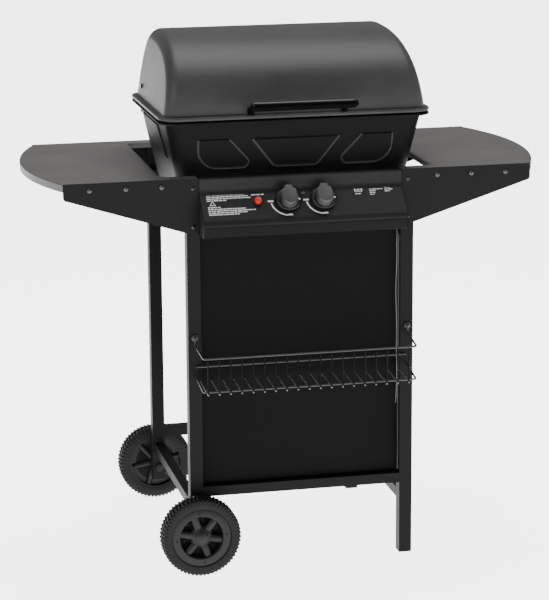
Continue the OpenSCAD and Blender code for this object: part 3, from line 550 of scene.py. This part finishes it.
def build_firebox_rim():
    bm = bmesh.new()
    outer = rounded_rect(-RIM_X, RIM_FRONT, RIM_X, RIM_BACK, RIM_CORNER, 14)
    inner = rounded_rect(-245.5, -187, 245.5, 133.5, 24, 14)
    rim_ring(bm, outer, inner, BOX_TOP, [
        (0, 6), (0.5, 5.9), (0.78, 5.6), (0.93, 5), (1, 3.6),
        (1, 2), (0.93, 0.8), (0.8, 0.2), (0.4, 0), (0, 0)])
    for s in SIDES:
        for near in (LUG_IN - LUG_GAP - LUG_W, LUG_IN + LUG_GAP + LUG_W):
            hinge_lug(bm, near if s > 0 else -near - LUG_W, (146, 862.3), (156, 867.7))
    ledge_z = edge("cooking_grate", "-z")
    for x in (-150, 150):
        for y0, y1 in ((-184, -175), (120, 130)):
            block(bm, (x - 10, y0, ledge_z - 4), (x + 10, y1, ledge_z))
    place(finish_mesh(bm, "firebox_rim", BOX), "stand", None)


# ---------------------------------------------------------------- control panel

FACE_Y, FACE_Z = -242.5, 719.5      # middle of the sloping face
COS45 = math.sqrt(0.5)
FACE_U, FACE_V, FACE_N = Vector((1, 0, 0)), Vector((0, COS45, COS45)), Vector((0, -COS45, COS45))
KNOB_X = {side: middle(side + "_knob", "x") for side in ("left", "right")}
IGNITER_X = middle("igniter_button", "x")
PANEL_X = edge("control_panel", "+x")
PANEL_T = 1.2
# The section from the top edge down to the lower lip: y, z and how far its bend reaches.
PANEL_SECTION = [(-206, 765, 0), (-225.5, 765, 3), (-225.5, 736.5, 7), (-276.6, 685.4, 11),
                 (-266.2, 658, 5), (-250, 658, 0)]


def on_face(u, v, out=0.0):
    """A point on the sloping face: u to the right, v up the slope, out away from it."""
    return at(0, FACE_Y, FACE_Z) + (FACE_U * u + FACE_V * v + FACE_N * out) * MM


def face_matrix(u):
    turn = Matrix((FACE_U, FACE_V, FACE_N)).transposed().to_4x4()
    return Matrix.Translation(on_face(u, 0)) @ turn


def panel_section():
    """Outer line of the panel's section with its bends, and the inner line one sheet behind it."""
    points = [Vector((0, y, z)) for y, z, _ in PANEL_SECTION]
    outer = []
    for i, (point, (_, _, reach)) in enumerate(zip(points, PANEL_SECTION)):
        outer += bend(point, points[i - 1], points[i + 1], reach, 6) if reach else [point]
    inner = []
    for i, point in enumerate(outer):
        along = (outer[min(i + 1, len(outer) - 1)] - outer[max(i - 1, 0)]).normalized()
        inner.append(point + Vector((0, -along.z, along.y)) * PANEL_T)
    return outer, inner


def build_panel_front(outer, inner):
    bm = bmesh.new()
    ease = 0.9              # width of the softened end edges
    stations = [-PANEL_X, ease - PANEL_X] + [30 * k for k in range(-6, 7)] + [PANEL_X - ease, PANEL_X]
    rows = []
    for x in stations:
        drop = 0.8 / PANEL_T if abs(x) == PANEL_X else 0
        points = [p + (q - p) * drop for p, q in zip(outer, inner)]
        rows.append([bm.verts.new(at(x, p.y, p.z)) for p in points])
    grid_faces(bm, rows)
    backs = [[bm.verts.new(at(x, q.y, q.z)) for q in inner] for x in (PANEL_T - PANEL_X, PANEL_X - PANEL_T)]
    grid_faces(bm, backs)
    for i in (0, -1):
        bm.faces.new([row[i] for row in rows] + [backs[1][i], backs[0][i]])
    front = finish_mesh(bm, "panel_front", PANEL)
    keep_flat_faces(front)
    # The faces that look down and to the front get the painted shade.
    paint_faces(front, PANEL_UNDERSIDE_SHADE, lambda normal: normal.z < -0.1 and normal.y < 0)
    place(front, "stand", "control_panel")


def build_panel_ends(outer):
    bm = bmesh.new()
    back = -LEG_Y - 0.2
    ring = [(p.y, p.z) for p in outer[4:]] + [(back, 658), (back, 762)]
    for s in SIDES:
        for x, flip in ((s * (PANEL_X - 0.05), s > 0), (s * (PANEL_X - PANEL_T), s < 0)):
            verts = [bm.verts.new(at(x, y, z)) for y, z in ring]
            bm.faces.new(verts if flip else verts[::-1])
    place(finish_mesh(bm, "panel_ends", PANEL), "stand", None)


# ---------------------------------------------------------------- marks on the panel

def flat_shape(bm, points):
    """A printed shape, lying just above the sloping face."""
    bm.faces.new([bm.verts.new(on_face(u, v, 0.12)) for u, v in points])


def bar_shape(bm, u, v, wide, high):
    low, top = v - high / 2, v + high / 2
    flat_shape(bm, [(u, low), (u + wide, low), (u + wide, top), (u, top)])


def scribble(bm, left, first, lengths, pitch, high, rng):
    """Rows of short plain dashes: a printed block with no lettering in it."""
    for row, length in enumerate(lengths):
        u, end = left, left + length
        while u < end:
            wide = min(rng.uniform(3.0, 9.0), end - u)
            if wide > 1:
                bar_shape(bm, u, first - row * pitch, wide, high)
            u += wide + rng.uniform(0.9, 1.6)


# Left end, height of the first row, length of each row, step between rows, height of a dash.
DASH_BLOCKS = [
    (-184, 23.5, [38, 72, 79, 84, 38], 4.1, 2.0),
    (-184, -8.0, [24, 72, 90, 74, 58], 4.1, 2.0),
    (-98, 16.5, [24], 4, 2.2),
    (103.2, 20.6, [3.6, 3.6], 4.0, 1.6),
    (110, 20.6, [3.6, 3.6], 4.0, 1.6),
    (102, 7.6, [12], 4, 1.8),
    (129, 25.2, [30], 4, 2.0),
    (130, 20.4, [24, 26, 12, 13, 9], 3.9, 1.5),
    (160, 23.4, [15, 12, 16, 10], 4.2, 1.7),
]


def triangle_mark(bm):
    corners = [(-180, -4.2), (-168, -4.2), (-174, 5.8)]
    inside_u, inside_v, share = -174, -0.9, 0.688
    inner = [(inside_u + (u - inside_u) * share, inside_v + (v - inside_v) * share) for u, v in corners]
    for i in range(3):
        flat_shape(bm, [corners[i - 1], corners[i], inner[i], inner[i - 1]])


def frame_mark(bm):
    """A plain frame of two bars and three posts."""
    for v in (25.2, 12.6):
        bar_shape(bm, 101, v, 15, 1.4)
    for u in (101, 107.8, 114.6):
        bar_shape(bm, u, 18.9, 1.4, 11.2)


def knob_marks(bm, x):
    """The arc round a knob and a bar at each end of it."""
    steps = 28
    inner = arc(x, 0, 31.6, 31.6, 188, 262, steps)
    outer = arc(x, 0, 34.2, 34.2, 188, 262, steps)
    for k in range(steps):
        flat_shape(bm, [inner[k], outer[k], outer[k + 1], inner[k + 1]])
    bar_shape(bm, x - 38.5, 0, 10.5, 3.4)
    bar_shape(bm, x - 4.2, -31.6, 8.6, 3.4)


def build_print():
    rng = random.Random(4)
    bm = bmesh.new()
    for dash_block in DASH_BLOCKS:
        scribble(bm, *dash_block, rng)
    triangle_mark(bm)
    frame_mark(bm)
    for x in KNOB_X.values():
        knob_marks(bm, x)
    place(finish_mesh(bm, "panel_print", MARK), "stand")


# ---------------------------------------------------------------- knobs and igniter

def knob_outline():
    """Round below, narrowing to a ribbed pointer above."""
    flank = [(15, 6), (14.3, 9.5), (12.0, 12.0), (9.0, 13.6), (7.9, 15.5), (7.6, 21.0)]
    points = arc(0, -7, 15, 15, 180, 360, 16) + flank
    for rib in (5.1, 0, -5.1):
        points += [(rib + 1.9, 21.8), (rib + 1.2, 20.2), (rib - 1.2, 20.2), (rib - 1.9, 21.8)]
    return points + [(-u, v) for u, v in flank[::-1]]


def build_knob(side):
    body = side + "_knob"
    matrix = face_matrix(KNOB_X[side])
    bm = bmesh.new()
    lathe(bm, [(4.2, 1.6), (24.2, 1.6), (25, 2.3), (25, 5.6), (24.4, 6.5), (22.2, 8.3), (21.5, 8.5),
               (17, 8.2), (4.2, 8.2)], matrix, 72, True)
    place(finish_mesh(bm, body + "_skirt", SKIRT, 28), body, None)

    bm = bmesh.new()
    rows = []
    for h, scale in ((8.0, 1.0), (20.0, 0.965), (23.2, 0.955), (24.3, 0.93), (24.8, 0.88), (25.0, 0.80)):
        rows.append([bm.verts.new(matrix @ (Vector((u * scale, v * scale, h)) * MM))
                     for u, v in knob_outline()])
    grid_faces(bm, rows, close_u=True)
    bm.faces.new(rows[-1])
    bm.faces.new(rows[0][::-1])
    place(finish_mesh(bm, body + "_grip", KNOB, 32), body, body)

    bm = bmesh.new()
    turn = matrix @ Matrix.Rotation(math.radians(-8), 4, "Z")
    hexahedron(bm, [turn @ (Vector((u, v, h)) * MM) for h in (7.6, 8.62)
                    for v in (-1.5, 1.5) for u in (18.2, 22.4)])
    place(finish_mesh(bm, body + "_mark", MARK), body, None)


def build_igniter():
    matrix = face_matrix(IGNITER_X)
    bm = bmesh.new()
    lathe(bm, [(6.95, -8), (6.95, 2.0), (7.4, 2.45), (8.6, 2.4), (9.2, 1.9), (9.4, 0.05), (8.0, 0.05),
               (8.0, -8)], matrix, 48, True)
    place(finish_mesh(bm, "igniter_bezel", PLUG), "stand", None)
    bm = bmesh.new()
    lathe(bm, [(0, -10), (6.5, -10), (6.65, 7.6), (6.4, 8.9), (5.6, 9.6), (4.2, 9.85), (0, 9.7)], matrix, 48)
    place(finish_mesh(bm, "igniter_cap", RED), "igniter_button", "igniter_button")


# ---------------------------------------------------------------- tables

TABLE_IN = 262.0        # inner edge of a table beside the firebox
TABLE_TOP = edge("right_side_table", "+z")
SLOT_HALF = 200         # an outline point nearer to the middle than this along Y is in the slot
TABLE_T, TABLE_FOLD, ARM_FOLD = 1.2, 14.0, 10.0

def table_outline():
    """The right table from above: curved outer edge, and an arm at each side of the slot."""
    r, centre, arm_in, corner = 531.8, -32.0, 196.4, 11.0
    slot_front, slot_rear = -193.0, 196.8
    sweep = math.degrees(math.asin(LEG_Y / r))
    return (arc(centre, 0, r, r, -sweep, sweep, 40)
            + [(arm_in, LEG_Y), (arm_in, slot_rear)]
            + arc(TABLE_IN - corner, slot_rear - corner, corner, corner, 90, 0, 6)
            + arc(TABLE_IN - corner, slot_front + corner, corner, corner, 0, -90, 6)
            + [(arm_in, slot_front), (arm_in, -LEG_Y)])


def inset_outline(points, d):
    """A counterclockwise outline moved inwards by d, with its sharpest corners held back."""
    out = []
    for i, point in enumerate(points):
        before, here, after = Vector(points[i - 1]), Vector(point), Vector(points[(i + 1) % len(points)])
        n1, n2 = (here - before).normalized(), (after - here).normalized()
        n1, n2 = Vector((-n1.y, n1.x)), Vector((-n2.y, n2.x))
        out.append(here + (n1 + n2) * (d / (1 + max(n1.dot(n2), -0.2))))
    return out


def fold_depth(x, y):
    """Height of the folded edge at a point of the outline."""
    if x > TABLE_IN + 1:
        return TABLE_FOLD
    return ARM_FOLD if x > LEG_X + 2 or abs(y) < SLOT_HALF else TABLE_T


def build_table(side, s):
    outline = table_outline()
    at_slot = [abs(x - TABLE_IN) < 2 and abs(y) < SLOT_HALF for x, y in outline]
    bm = bmesh.new()
    rows = []
    for d, drop in ((3.4, 0), (1.8, 0.3), (0.6, 1.1), (0.0, 2.4)):
        tight, wide = inset_outline(outline, d), inset_outline(outline, d * 2.4)
        rows.append([bm.verts.new(at(s * (w.x if soft else t.x), t.y, TABLE_TOP - drop))
                     for soft, t, w in zip(at_slot, tight, wide)])
    for d in (0.0, TABLE_T):
        rows.append([bm.verts.new(at(s * q.x, q.y, TABLE_TOP - TABLE_T - fold_depth(x, y)))
                     for (x, y), q in zip(outline, inset_outline(outline, d))])
    rows.append([bm.verts.new(at(s * q.x, q.y, TABLE_TOP - (TABLE_T if x > LEG_X + 2 else 1.3)))
                 for (x, _), q in zip(outline, inset_outline(outline, TABLE_T))])
    grid_faces(bm, rows, close_u=True)
    bm.faces.new(rows[0])
    bm.faces.new(rows[-1][::-1])
    top = finish_mesh(bm, side + "_table_top", TABLE)
    keep_flat_faces(top)
    place(top, "stand", side + "_side_table")


# ---------------------------------------------------------------- stand

TUBES = ["left_front_leg", "right_front_leg", "left_rear_leg", "right_rear_leg",
         "front_bottom_rail", "rear_bottom_rail", "left_bottom_rail", "right_bottom_rail",
         "left_top_rail", "right_top_rail", "rear_top_rail", "front_top_rail"]
BRACKETS = ["left_front_bracket", "right_front_bracket", "left_rear_bracket", "right_rear_bracket"]


def build_stand():
    for node in TUBES:
        place(from_cad(node, FRAME, 0.7, 3), "stand", node)
    for node in BRACKETS:
        place(from_cad(node, APRON, 0.6, 3), "stand", node)
    place(from_cad("foot_caps", PLUG, 0.8, 2), "stand", "foot_caps")


# ---------------------------------------------------------------- front sheet

PLATE_X, PLATE_FRONT = edge("front_panel", "+x"), -207.0
PLATE_LOW, PLATE_TOP = edge("front_panel", "-z") + 0.2, edge("front_panel", "+z")


def plate_wave(x, z):
    """How far the thin sheet bows, more so beside its right edge."""
    soft = noise.noise(Vector((x * 0.006, z * 0.009, 3.1)))
    return 0.35 * soft + smooth01((x - 120) / 69) * 0.5 * math.sin(z * 0.045 + 0.8)


def plate_skin(bm, y):
    columns, levels = 60, 80
    rows = []
    for j in range(levels + 1):
        z = PLATE_LOW + (PLATE_TOP - PLATE_LOW) * j / levels
        stations = [-PLATE_X + 2 * PLATE_X * i / columns for i in range(columns + 1)]
        rows.append([bm.verts.new(at(x, y + plate_wave(x, z), z)) for x in stations])
    grid_faces(bm, rows)
    return rows


def around_grid(rows):
    """The vertices round the edge of a grid, in order."""
    return (rows[0] + [row[-1] for row in rows[1:]] + rows[-1][-2::-1]
            + [row[0] for row in rows[-2:0:-1]])


def build_front_sheet():
    bm = bmesh.new()
    skins = [plate_skin(bm, PLATE_FRONT), plate_skin(bm, PLATE_FRONT + 1)]
    grid_faces(bm, [around_grid(rows) for rows in skins], close_u=True)
    block(bm, (-PLATE_X, -219, 164.1), (PLATE_X, PLATE_FRONT - 0.4, 165.0))
    place(finish_mesh(bm, "front_sheet", SHEET), "stand", "front_panel")


def build_front_sheet_edge():
    """A painted highlight: the light, slightly wavy line down the sheet's right edge, where the bent edge
    catches the light.
    """
    top, length, steps = 652, 350, 60
    bm = bmesh.new()
    path = []
    for k in range(steps + 1):
        z = top - length * k / steps
        x = 191.6 + 0.9 * math.sin(z * 0.021) + 0.5 * math.sin(z * 0.055 + 1)
        path.append(at(x, PLATE_FRONT - 0.45 + plate_wave(x, z), z))
    tube(bm, path, 0.5, 8)
    place(finish_mesh(bm, "front_sheet_edge", SHEET_HIGHLIGHT), "stand", None)


# ---------------------------------------------------------------- screws

BRACKET_FACE = edge("right_rear_bracket", "+y")
HEAD_SHAPE = [(0.16, 0.66), (0.22, 1), (0.45, 0.93), (0.68, 0.76), (0.87, 0.48), (1, 0.1)]


def pan_head(bm, point, r, h, facing):
    """Domed screw head with a sunk middle, pointing to the front (-1) or to the back (+1)."""
    turn = Matrix.Rotation(math.pi / 2 * -facing, 4, "X")
    profile = [(0, h * 0.6)] + [(r * across, h * up) for across, up in HEAD_SHAPE] + [(r, 0), (0, 0)]
    lathe(bm, profile, Matrix.Translation(at(*point)) @ turn, 28)


def heads_on_brackets(places, r, h, name, material, node):
    """A head at each (x, z) on all four brackets, as one piece."""
    bm = bmesh.new()
    for s in SIDES:
        for x, z in places:
            for facing in (-1, 1):
                pan_head(bm, (s * x, facing * BRACKET_FACE, z), r, h, facing)
    place(finish_mesh(bm, name, material, 50), "stand", node)


def build_screws():
    table_places = [(x, 752) for x in (266, 333.5, 401.5)]
    heads_on_brackets(table_places, 5.5, 3.1, "table_screw_heads", DULL_SCREW, "table_screws")
    leg_places = [(LEG_X - LEG_W / 2, z) for z in (747, 674)]
    heads_on_brackets(leg_places, 4.6, 2.2, "leg_screw_heads", BLACK_SCREW, "leg_screws")
    bm = bmesh.new()
    for s in SIDES:
        pan_head(bm, (s * EYE_X, -227.4, EYE_Z), 4.5, 2.2, -1)
    place(finish_mesh(bm, "basket_screw_heads", BLACK_SCREW, 50), "stand", "basket_screws")


# ---------------------------------------------------------------- basket

EYE_X, EYE_Z = 208.0, middle("basket_screws", "z")      # the eyes that hold the basket to the legs
BASKET_FRONT, BASKET_LEAN = -298.5, 2.0
BASKET_TOP, BASKET_LOW, BASKET_FLOOR, BASKET_WALL = 437.0, 372.5, 376.0, 404.0
WIRE_X = [-198 + 21.6 * i for i in range(19)]


def mirrored(half):
    """A run of points from left to right, made of its left half."""
    return [at(*p) for p in half] + [at(-x, y, z) for x, y, z in half[::-1]]


def build_basket_hoops():
    bm = bmesh.new()
    tube(bm, mirrored([(-206, -228.5, BASKET_WALL)]), 2, 12)
    upper = [(-EYE_X, -226.5, EYE_Z - 5), (-EYE_X, -227.5, EYE_Z - 13),
             (2 - EYE_X, BASKET_FRONT - BASKET_LEAN, BASKET_TOP)]
    tube(bm, rounded_path(mirrored(upper), 7), 2, 12)
    lower = [(-206.5, -225.5, BASKET_FLOOR + 9), (-206, BASKET_FRONT, BASKET_LOW)]
    tube(bm, rounded_path(mirrored(lower), 6), 2, 12)
    for s in SIDES:
        tube(bm, [at(x, -226, z) for x, z in arc(s * EYE_X, EYE_Z, 5, 5, 0, 342, 19)], 1.5, 10, closed=True)
    place(finish_mesh(bm, "basket_hoops", WIRE), "stand", "basket_frame")


def build_basket_wires():
    bm = bmesh.new()
    for x in WIRE_X:
        tube(bm, [at(x, -226.0, BASKET_FLOOR - 1), at(x, BASKET_FRONT + 1, BASKET_LOW - 3.4),
                  at(x, BASKET_FRONT - 4.7, BASKET_LOW - 4.7)], 1.5, 10)
    # The floor wires are painted lighter, as lit from above.
    place(finish_mesh(bm, "basket_floor_wires", WIRE_PAINTED_LIGHT), "stand", "basket_ribs")
    bm = bmesh.new()
    for x in WIRE_X:
        for y, top, low in ((-225.3, BASKET_WALL + 1, BASKET_FLOOR - 1.6),
                            (BASKET_FRONT - 3.7, BASKET_LOW - 3.4, BASKET_TOP - 3.4)):
            tube(bm, [at(x, y, top), at(x, y, low)], 1.45, 10)
    # The uprights are painted darker, as shaded.
    place(finish_mesh(bm, "basket_uprights", WIRE_PAINTED_SHADE), "stand", None)


# ---------------------------------------------------------------- wheels

WHEEL_OUT = edge("rear_tyre", "+y")
WHEEL_FACE = 34.0                   # the wheel's outer side on its local Z axis; its inner side is at -6
BLOCK_R, GROOVE_R = 77.0, 74.4      # over the tread blocks, and in the grooves between them


def wheel_matrix(s):
    """Local Z points out of the stand along the axle."""
    origin = at(middle("rear_hub", "x"), s * (WHEEL_OUT - WHEEL_FACE), middle("rear_hub", "z"))
    return Matrix.Translation(origin) @ Matrix.Rotation(-s * math.pi / 2, 4, "X")


def tread_section(inner_r, outer_r, cut):
    """Tyre section at one angle: tread radius on its inner and outer half, and the cut in its shoulders."""
    return [(54.2, -4), (57, -4.8), (66, -5.6), (70, cut - 5.6), (73.6, cut - 4.4),
            (inner_r - 0.6, -1.8), (inner_r, -0.8), (inner_r, 11.5), (73.2, 12.2), (73.2, 15.8),
            (outer_r, 16.5), (outer_r, 28.8), (outer_r - 0.6, 29.8), (73.6, 32.6 - cut),
            (70, 33.6 - cut), (66, 33.6), (58.2, 32.9), (57.4, 30.6), (54.2, 30.2)]


def build_tread(matrix, name, body):
    """Sixty blocks on each half of the tread, those of one half opposite the other's grooves."""
    blocks, per_block = 60, 4
    inner_block = tread_section(BLOCK_R, GROOVE_R, 0.0)
    outer_block = tread_section(GROOVE_R, BLOCK_R, 1.2)
    bm = bmesh.new()
    rows = []
    for k in range(blocks * per_block):
        angle = k * math.tau / (blocks * per_block)
        section = inner_block if k % per_block < per_block / 2 else outer_block
        rows.append([bm.verts.new(turned(matrix, r, angle, h)) for r, h in section])
    grid_faces(bm, rows, close_u=True, close_v=True)
    place(finish_mesh(bm, name + "_tread", TYRE, 30), body, name + "_tyre")


def spoke(bm, matrix, stations, section):
    """A bar out along the local X axis: section gives its (width, height) points at a station."""
    rows = [[bm.verts.new(matrix @ (Vector((r, *point)) * MM)) for point in section(scale)]
            for r, scale in stations]
    grid_faces(bm, rows)
    for row in (rows[0], rows[-1]):
        bm.faces.new(row)


def outer_spoke(scale):
    angles = [math.pi * k / 12 for k in range(13)]
    return [(7.8 * scale * math.cos(t), 20.5 + 7.0 * scale * max(0, math.sin(t)) ** 0.7) for t in angles]


def inner_spoke(scale):
    angles = [math.pi * k / 10 for k in range(11)]
    return [(6.5 * scale * math.cos(t), 9.5 - 7.5 * scale * math.sin(t)) for t in angles]


def build_rim(matrix, name, body):
    bm = bmesh.new()
    lathe(bm, [(41, 8), (41, 28.6), (41.6, 30.2), (43, 31.3), (55.4, 31.3), (56.6, 30.6), (56.8, 29),
               (54, 29), (54, -3), (52, -3), (52, 8)], matrix, 96, True)
    lathe(bm, [(5.05, 29.6), (11, 29.6), (14, 29), (16, 27.4), (19, 25.8), (22, 22), (23.5, 19),
               (14, 10), (14, -13), (5.05, -13)], matrix, 48, True)
    for i in range(6):
        turn = matrix @ Matrix.Rotation(math.radians(60 * i - 11), 4, "Z")
        spoke(bm, turn, ((17.5, 0.93), (20, 1.0), (34, 1.0), (39.5, 1.0), (42, 0.98)), outer_spoke)
        spoke(bm, turn, ((14, 1.0), (24, 1.0), (40, 1.0), (51.8, 1.0)), inner_spoke)
    place(finish_mesh(bm, name + "_rim", HUB, 32), body, name + "_hub")


def build_recess(matrix, name, body):
    """The web behind the spokes, its triangular ribs and the four dots on the rim, all darker than the hub
    as painted shade in the wheel's recess.
    """
    bm = bmesh.new()
    lathe(bm, [(12, 14), (42, 14), (42, 9), (12, 9)], matrix, 64, True)
    corners = [Vector((22.5, 0, 15.5)), Vector((37.5, -7.8, 15.5)), Vector((37.5, 7.8, 15.5))]
    for i in range(6):
        turn = matrix @ Matrix.Rotation(math.radians(60 * i + 19), 4, "Z")
        for a, b in zip(corners, corners[1:] + corners[:1]):
            tube(bm, [turn @ (a * MM), turn @ (b * MM)], 1.5, 8)
    for i in range(4):
        turn = matrix @ Matrix.Rotation(math.radians(90 * i + 5), 4, "Z")
        lathe(bm, [(0, 31.45), (2.0, 31.45), (2.2, 31.2)], turn @ Matrix.Translation((48.6 * MM, 0, 0)), 16)
    place(finish_mesh(bm, name + "_recess", HUB_SHADE), body, None)


def build_cap(matrix, name, body):
    bm = bmesh.new()
    lathe(bm, [(0, 33.9), (3, 33.7), (6, 33.2), (9, 32.2), (11.5, 30.9), (13.2, 29.4), (14.2, 27.6),
               (14.2, 26)], matrix, 48)
    place(finish_mesh(bm, name + "_cap", HUB), body, name + "_hub_cap")


def build_wheel(name, s):
    for build in (build_tread, build_rim, build_recess, build_cap):
        build(wheel_matrix(s), name, name + "_wheel")


# ---------------------------------------------------------------- kept CAD pieces

KEPT = [
    (STEEL, ["gas_manifold", "left_burner", "right_burner", "left_flame_tamer", "right_flame_tamer",
             "cup_holder", "grease_cup", "left_valve_stem", "right_valve_stem"]),
    (BRASS, ["left_gas_valve", "right_gas_valve"]),
    (CHROME, ["warming_rack", "cooking_grate"]),
    (CERAMIC, ["igniter_electrode"]),
    (PLUG, ["igniter_body", "axle_bolts"]),
    (SCREW, ["firebox_bolts", "hinge_pins", "handle_screws"]),
    (DULL_SCREW, ["panel_screw"]),
    (BLACK_SCREW, ["rack_screws", "lid_side_screws"]),
]


def dress_cad():
    """Gives each CAD node that stays in view its own finish."""
    for material, nodes in KEPT:
        for node in nodes:
            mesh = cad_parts[node].data
            mesh.materials.clear()
            mesh.materials.append(material)


# ---------------------------------------------------------------- studio, in metres

def build_floor():
    """A wide white floor that glows a little, so that it reads as a plain light backdrop."""
    bm = bmesh.new()
    marks = [-24.0 + 6.0 * k for k in range(9)]
    grid_faces(bm, [[bm.verts.new((x, y, 0.0)) for y in marks] for x in marks])
    white = coated("studio_white", (0.80, 0.80, 0.80), 0.8, 40, 0.02, spread=0.01)
    shader = white.node_tree.nodes["Principled BSDF"]
    shader.inputs["Emission Color"].default_value = (1, 1, 1, 1)
    shader.inputs["Emission Strength"].default_value = 4.0
    finish_mesh(bm, "studio_floor", white, 60)


def build_world():
    world = bpy.data.worlds.new("studio_world")
    bpy.context.scene.world = world
    world.use_nodes = True
    background = world.node_tree.nodes["Background"]
    background.inputs["Color"].default_value = (1, 1, 1, 1)
    background.inputs["Strength"].default_value = 0.4


def area_light(name, location, aim, size, power):
    light = bpy.data.lights.new(name, "AREA")
    light.shape = "RECTANGLE"
    light.size, light.size_y = size
    light.energy = power
    lamp = bpy.data.objects.new(name, light)
    lamp.location = location
    lamp.rotation_euler = (Vector(aim) - Vector(location)).to_track_quat("-Z", "Y").to_euler()
    bpy.context.scene.collection.objects.link(lamp)


def build_studio():
    build_floor()
    build_world()
    area_light("key_light", (-2.6, -2.4, 3.0), (0, 0, 0.6), (2.2, 2.2), 85)
    area_light("top_light", (0.3, 0.6, 3.4), (0, 0, 0.8), (2.6, 2.0), 130)
    area_light("fill_light", (3.0, -2.0, 1.6), (0, 0, 0.6), (2.0, 2.5), 20)


def build_camera():
    """The camera solved from the photograph: where it stands, where it looks and its lens."""
    yaw, pitch, roll = math.radians(12.59), math.radians(13.38), math.radians(-0.36)
    ahead = Vector((math.sin(yaw) * math.cos(pitch), math.cos(yaw) * math.cos(pitch), -math.sin(pitch)))
    level = Vector((math.cos(yaw), -math.sin(yaw), 0))
    upright = level.cross(ahead)
    right = level * math.cos(roll) + upright * math.sin(roll)
    up = upright * math.cos(roll) - level * math.sin(roll)
    lens = bpy.data.cameras.new("camera")
    lens.sensor_width = 36
    lens.lens = 147.225
    lens.clip_start, lens.clip_end = 0.1, 60
    camera = bpy.data.objects.new("camera", lens)
    matrix = Matrix((right, up, -ahead)).transposed().to_4x4()
    matrix.translation = at(-1039.94, -4643.48, 1602.05)
    camera.matrix_world = matrix
    bpy.context.scene.collection.objects.link(camera)
    bpy.context.scene.camera = camera


build_lid_barrel()
build_lid_rim()
build_handle()
build_firebox_wall()
build_firebox_beads()
build_firebox_rim()
section_outer, section_inner = panel_section()
build_panel_front(section_outer, section_inner)
build_panel_ends(section_outer)
build_print()
for knob_side in KNOB_X:
    build_knob(knob_side)
build_igniter()
build_table("left", -1)
build_table("right", 1)
build_stand()
build_front_sheet()
build_front_sheet_edge()
build_screws()
build_basket_hoops()
build_basket_wires()
build_wheel("front", -1)
build_wheel("rear", 1)
dress_cad()
build_studio()
build_camera()
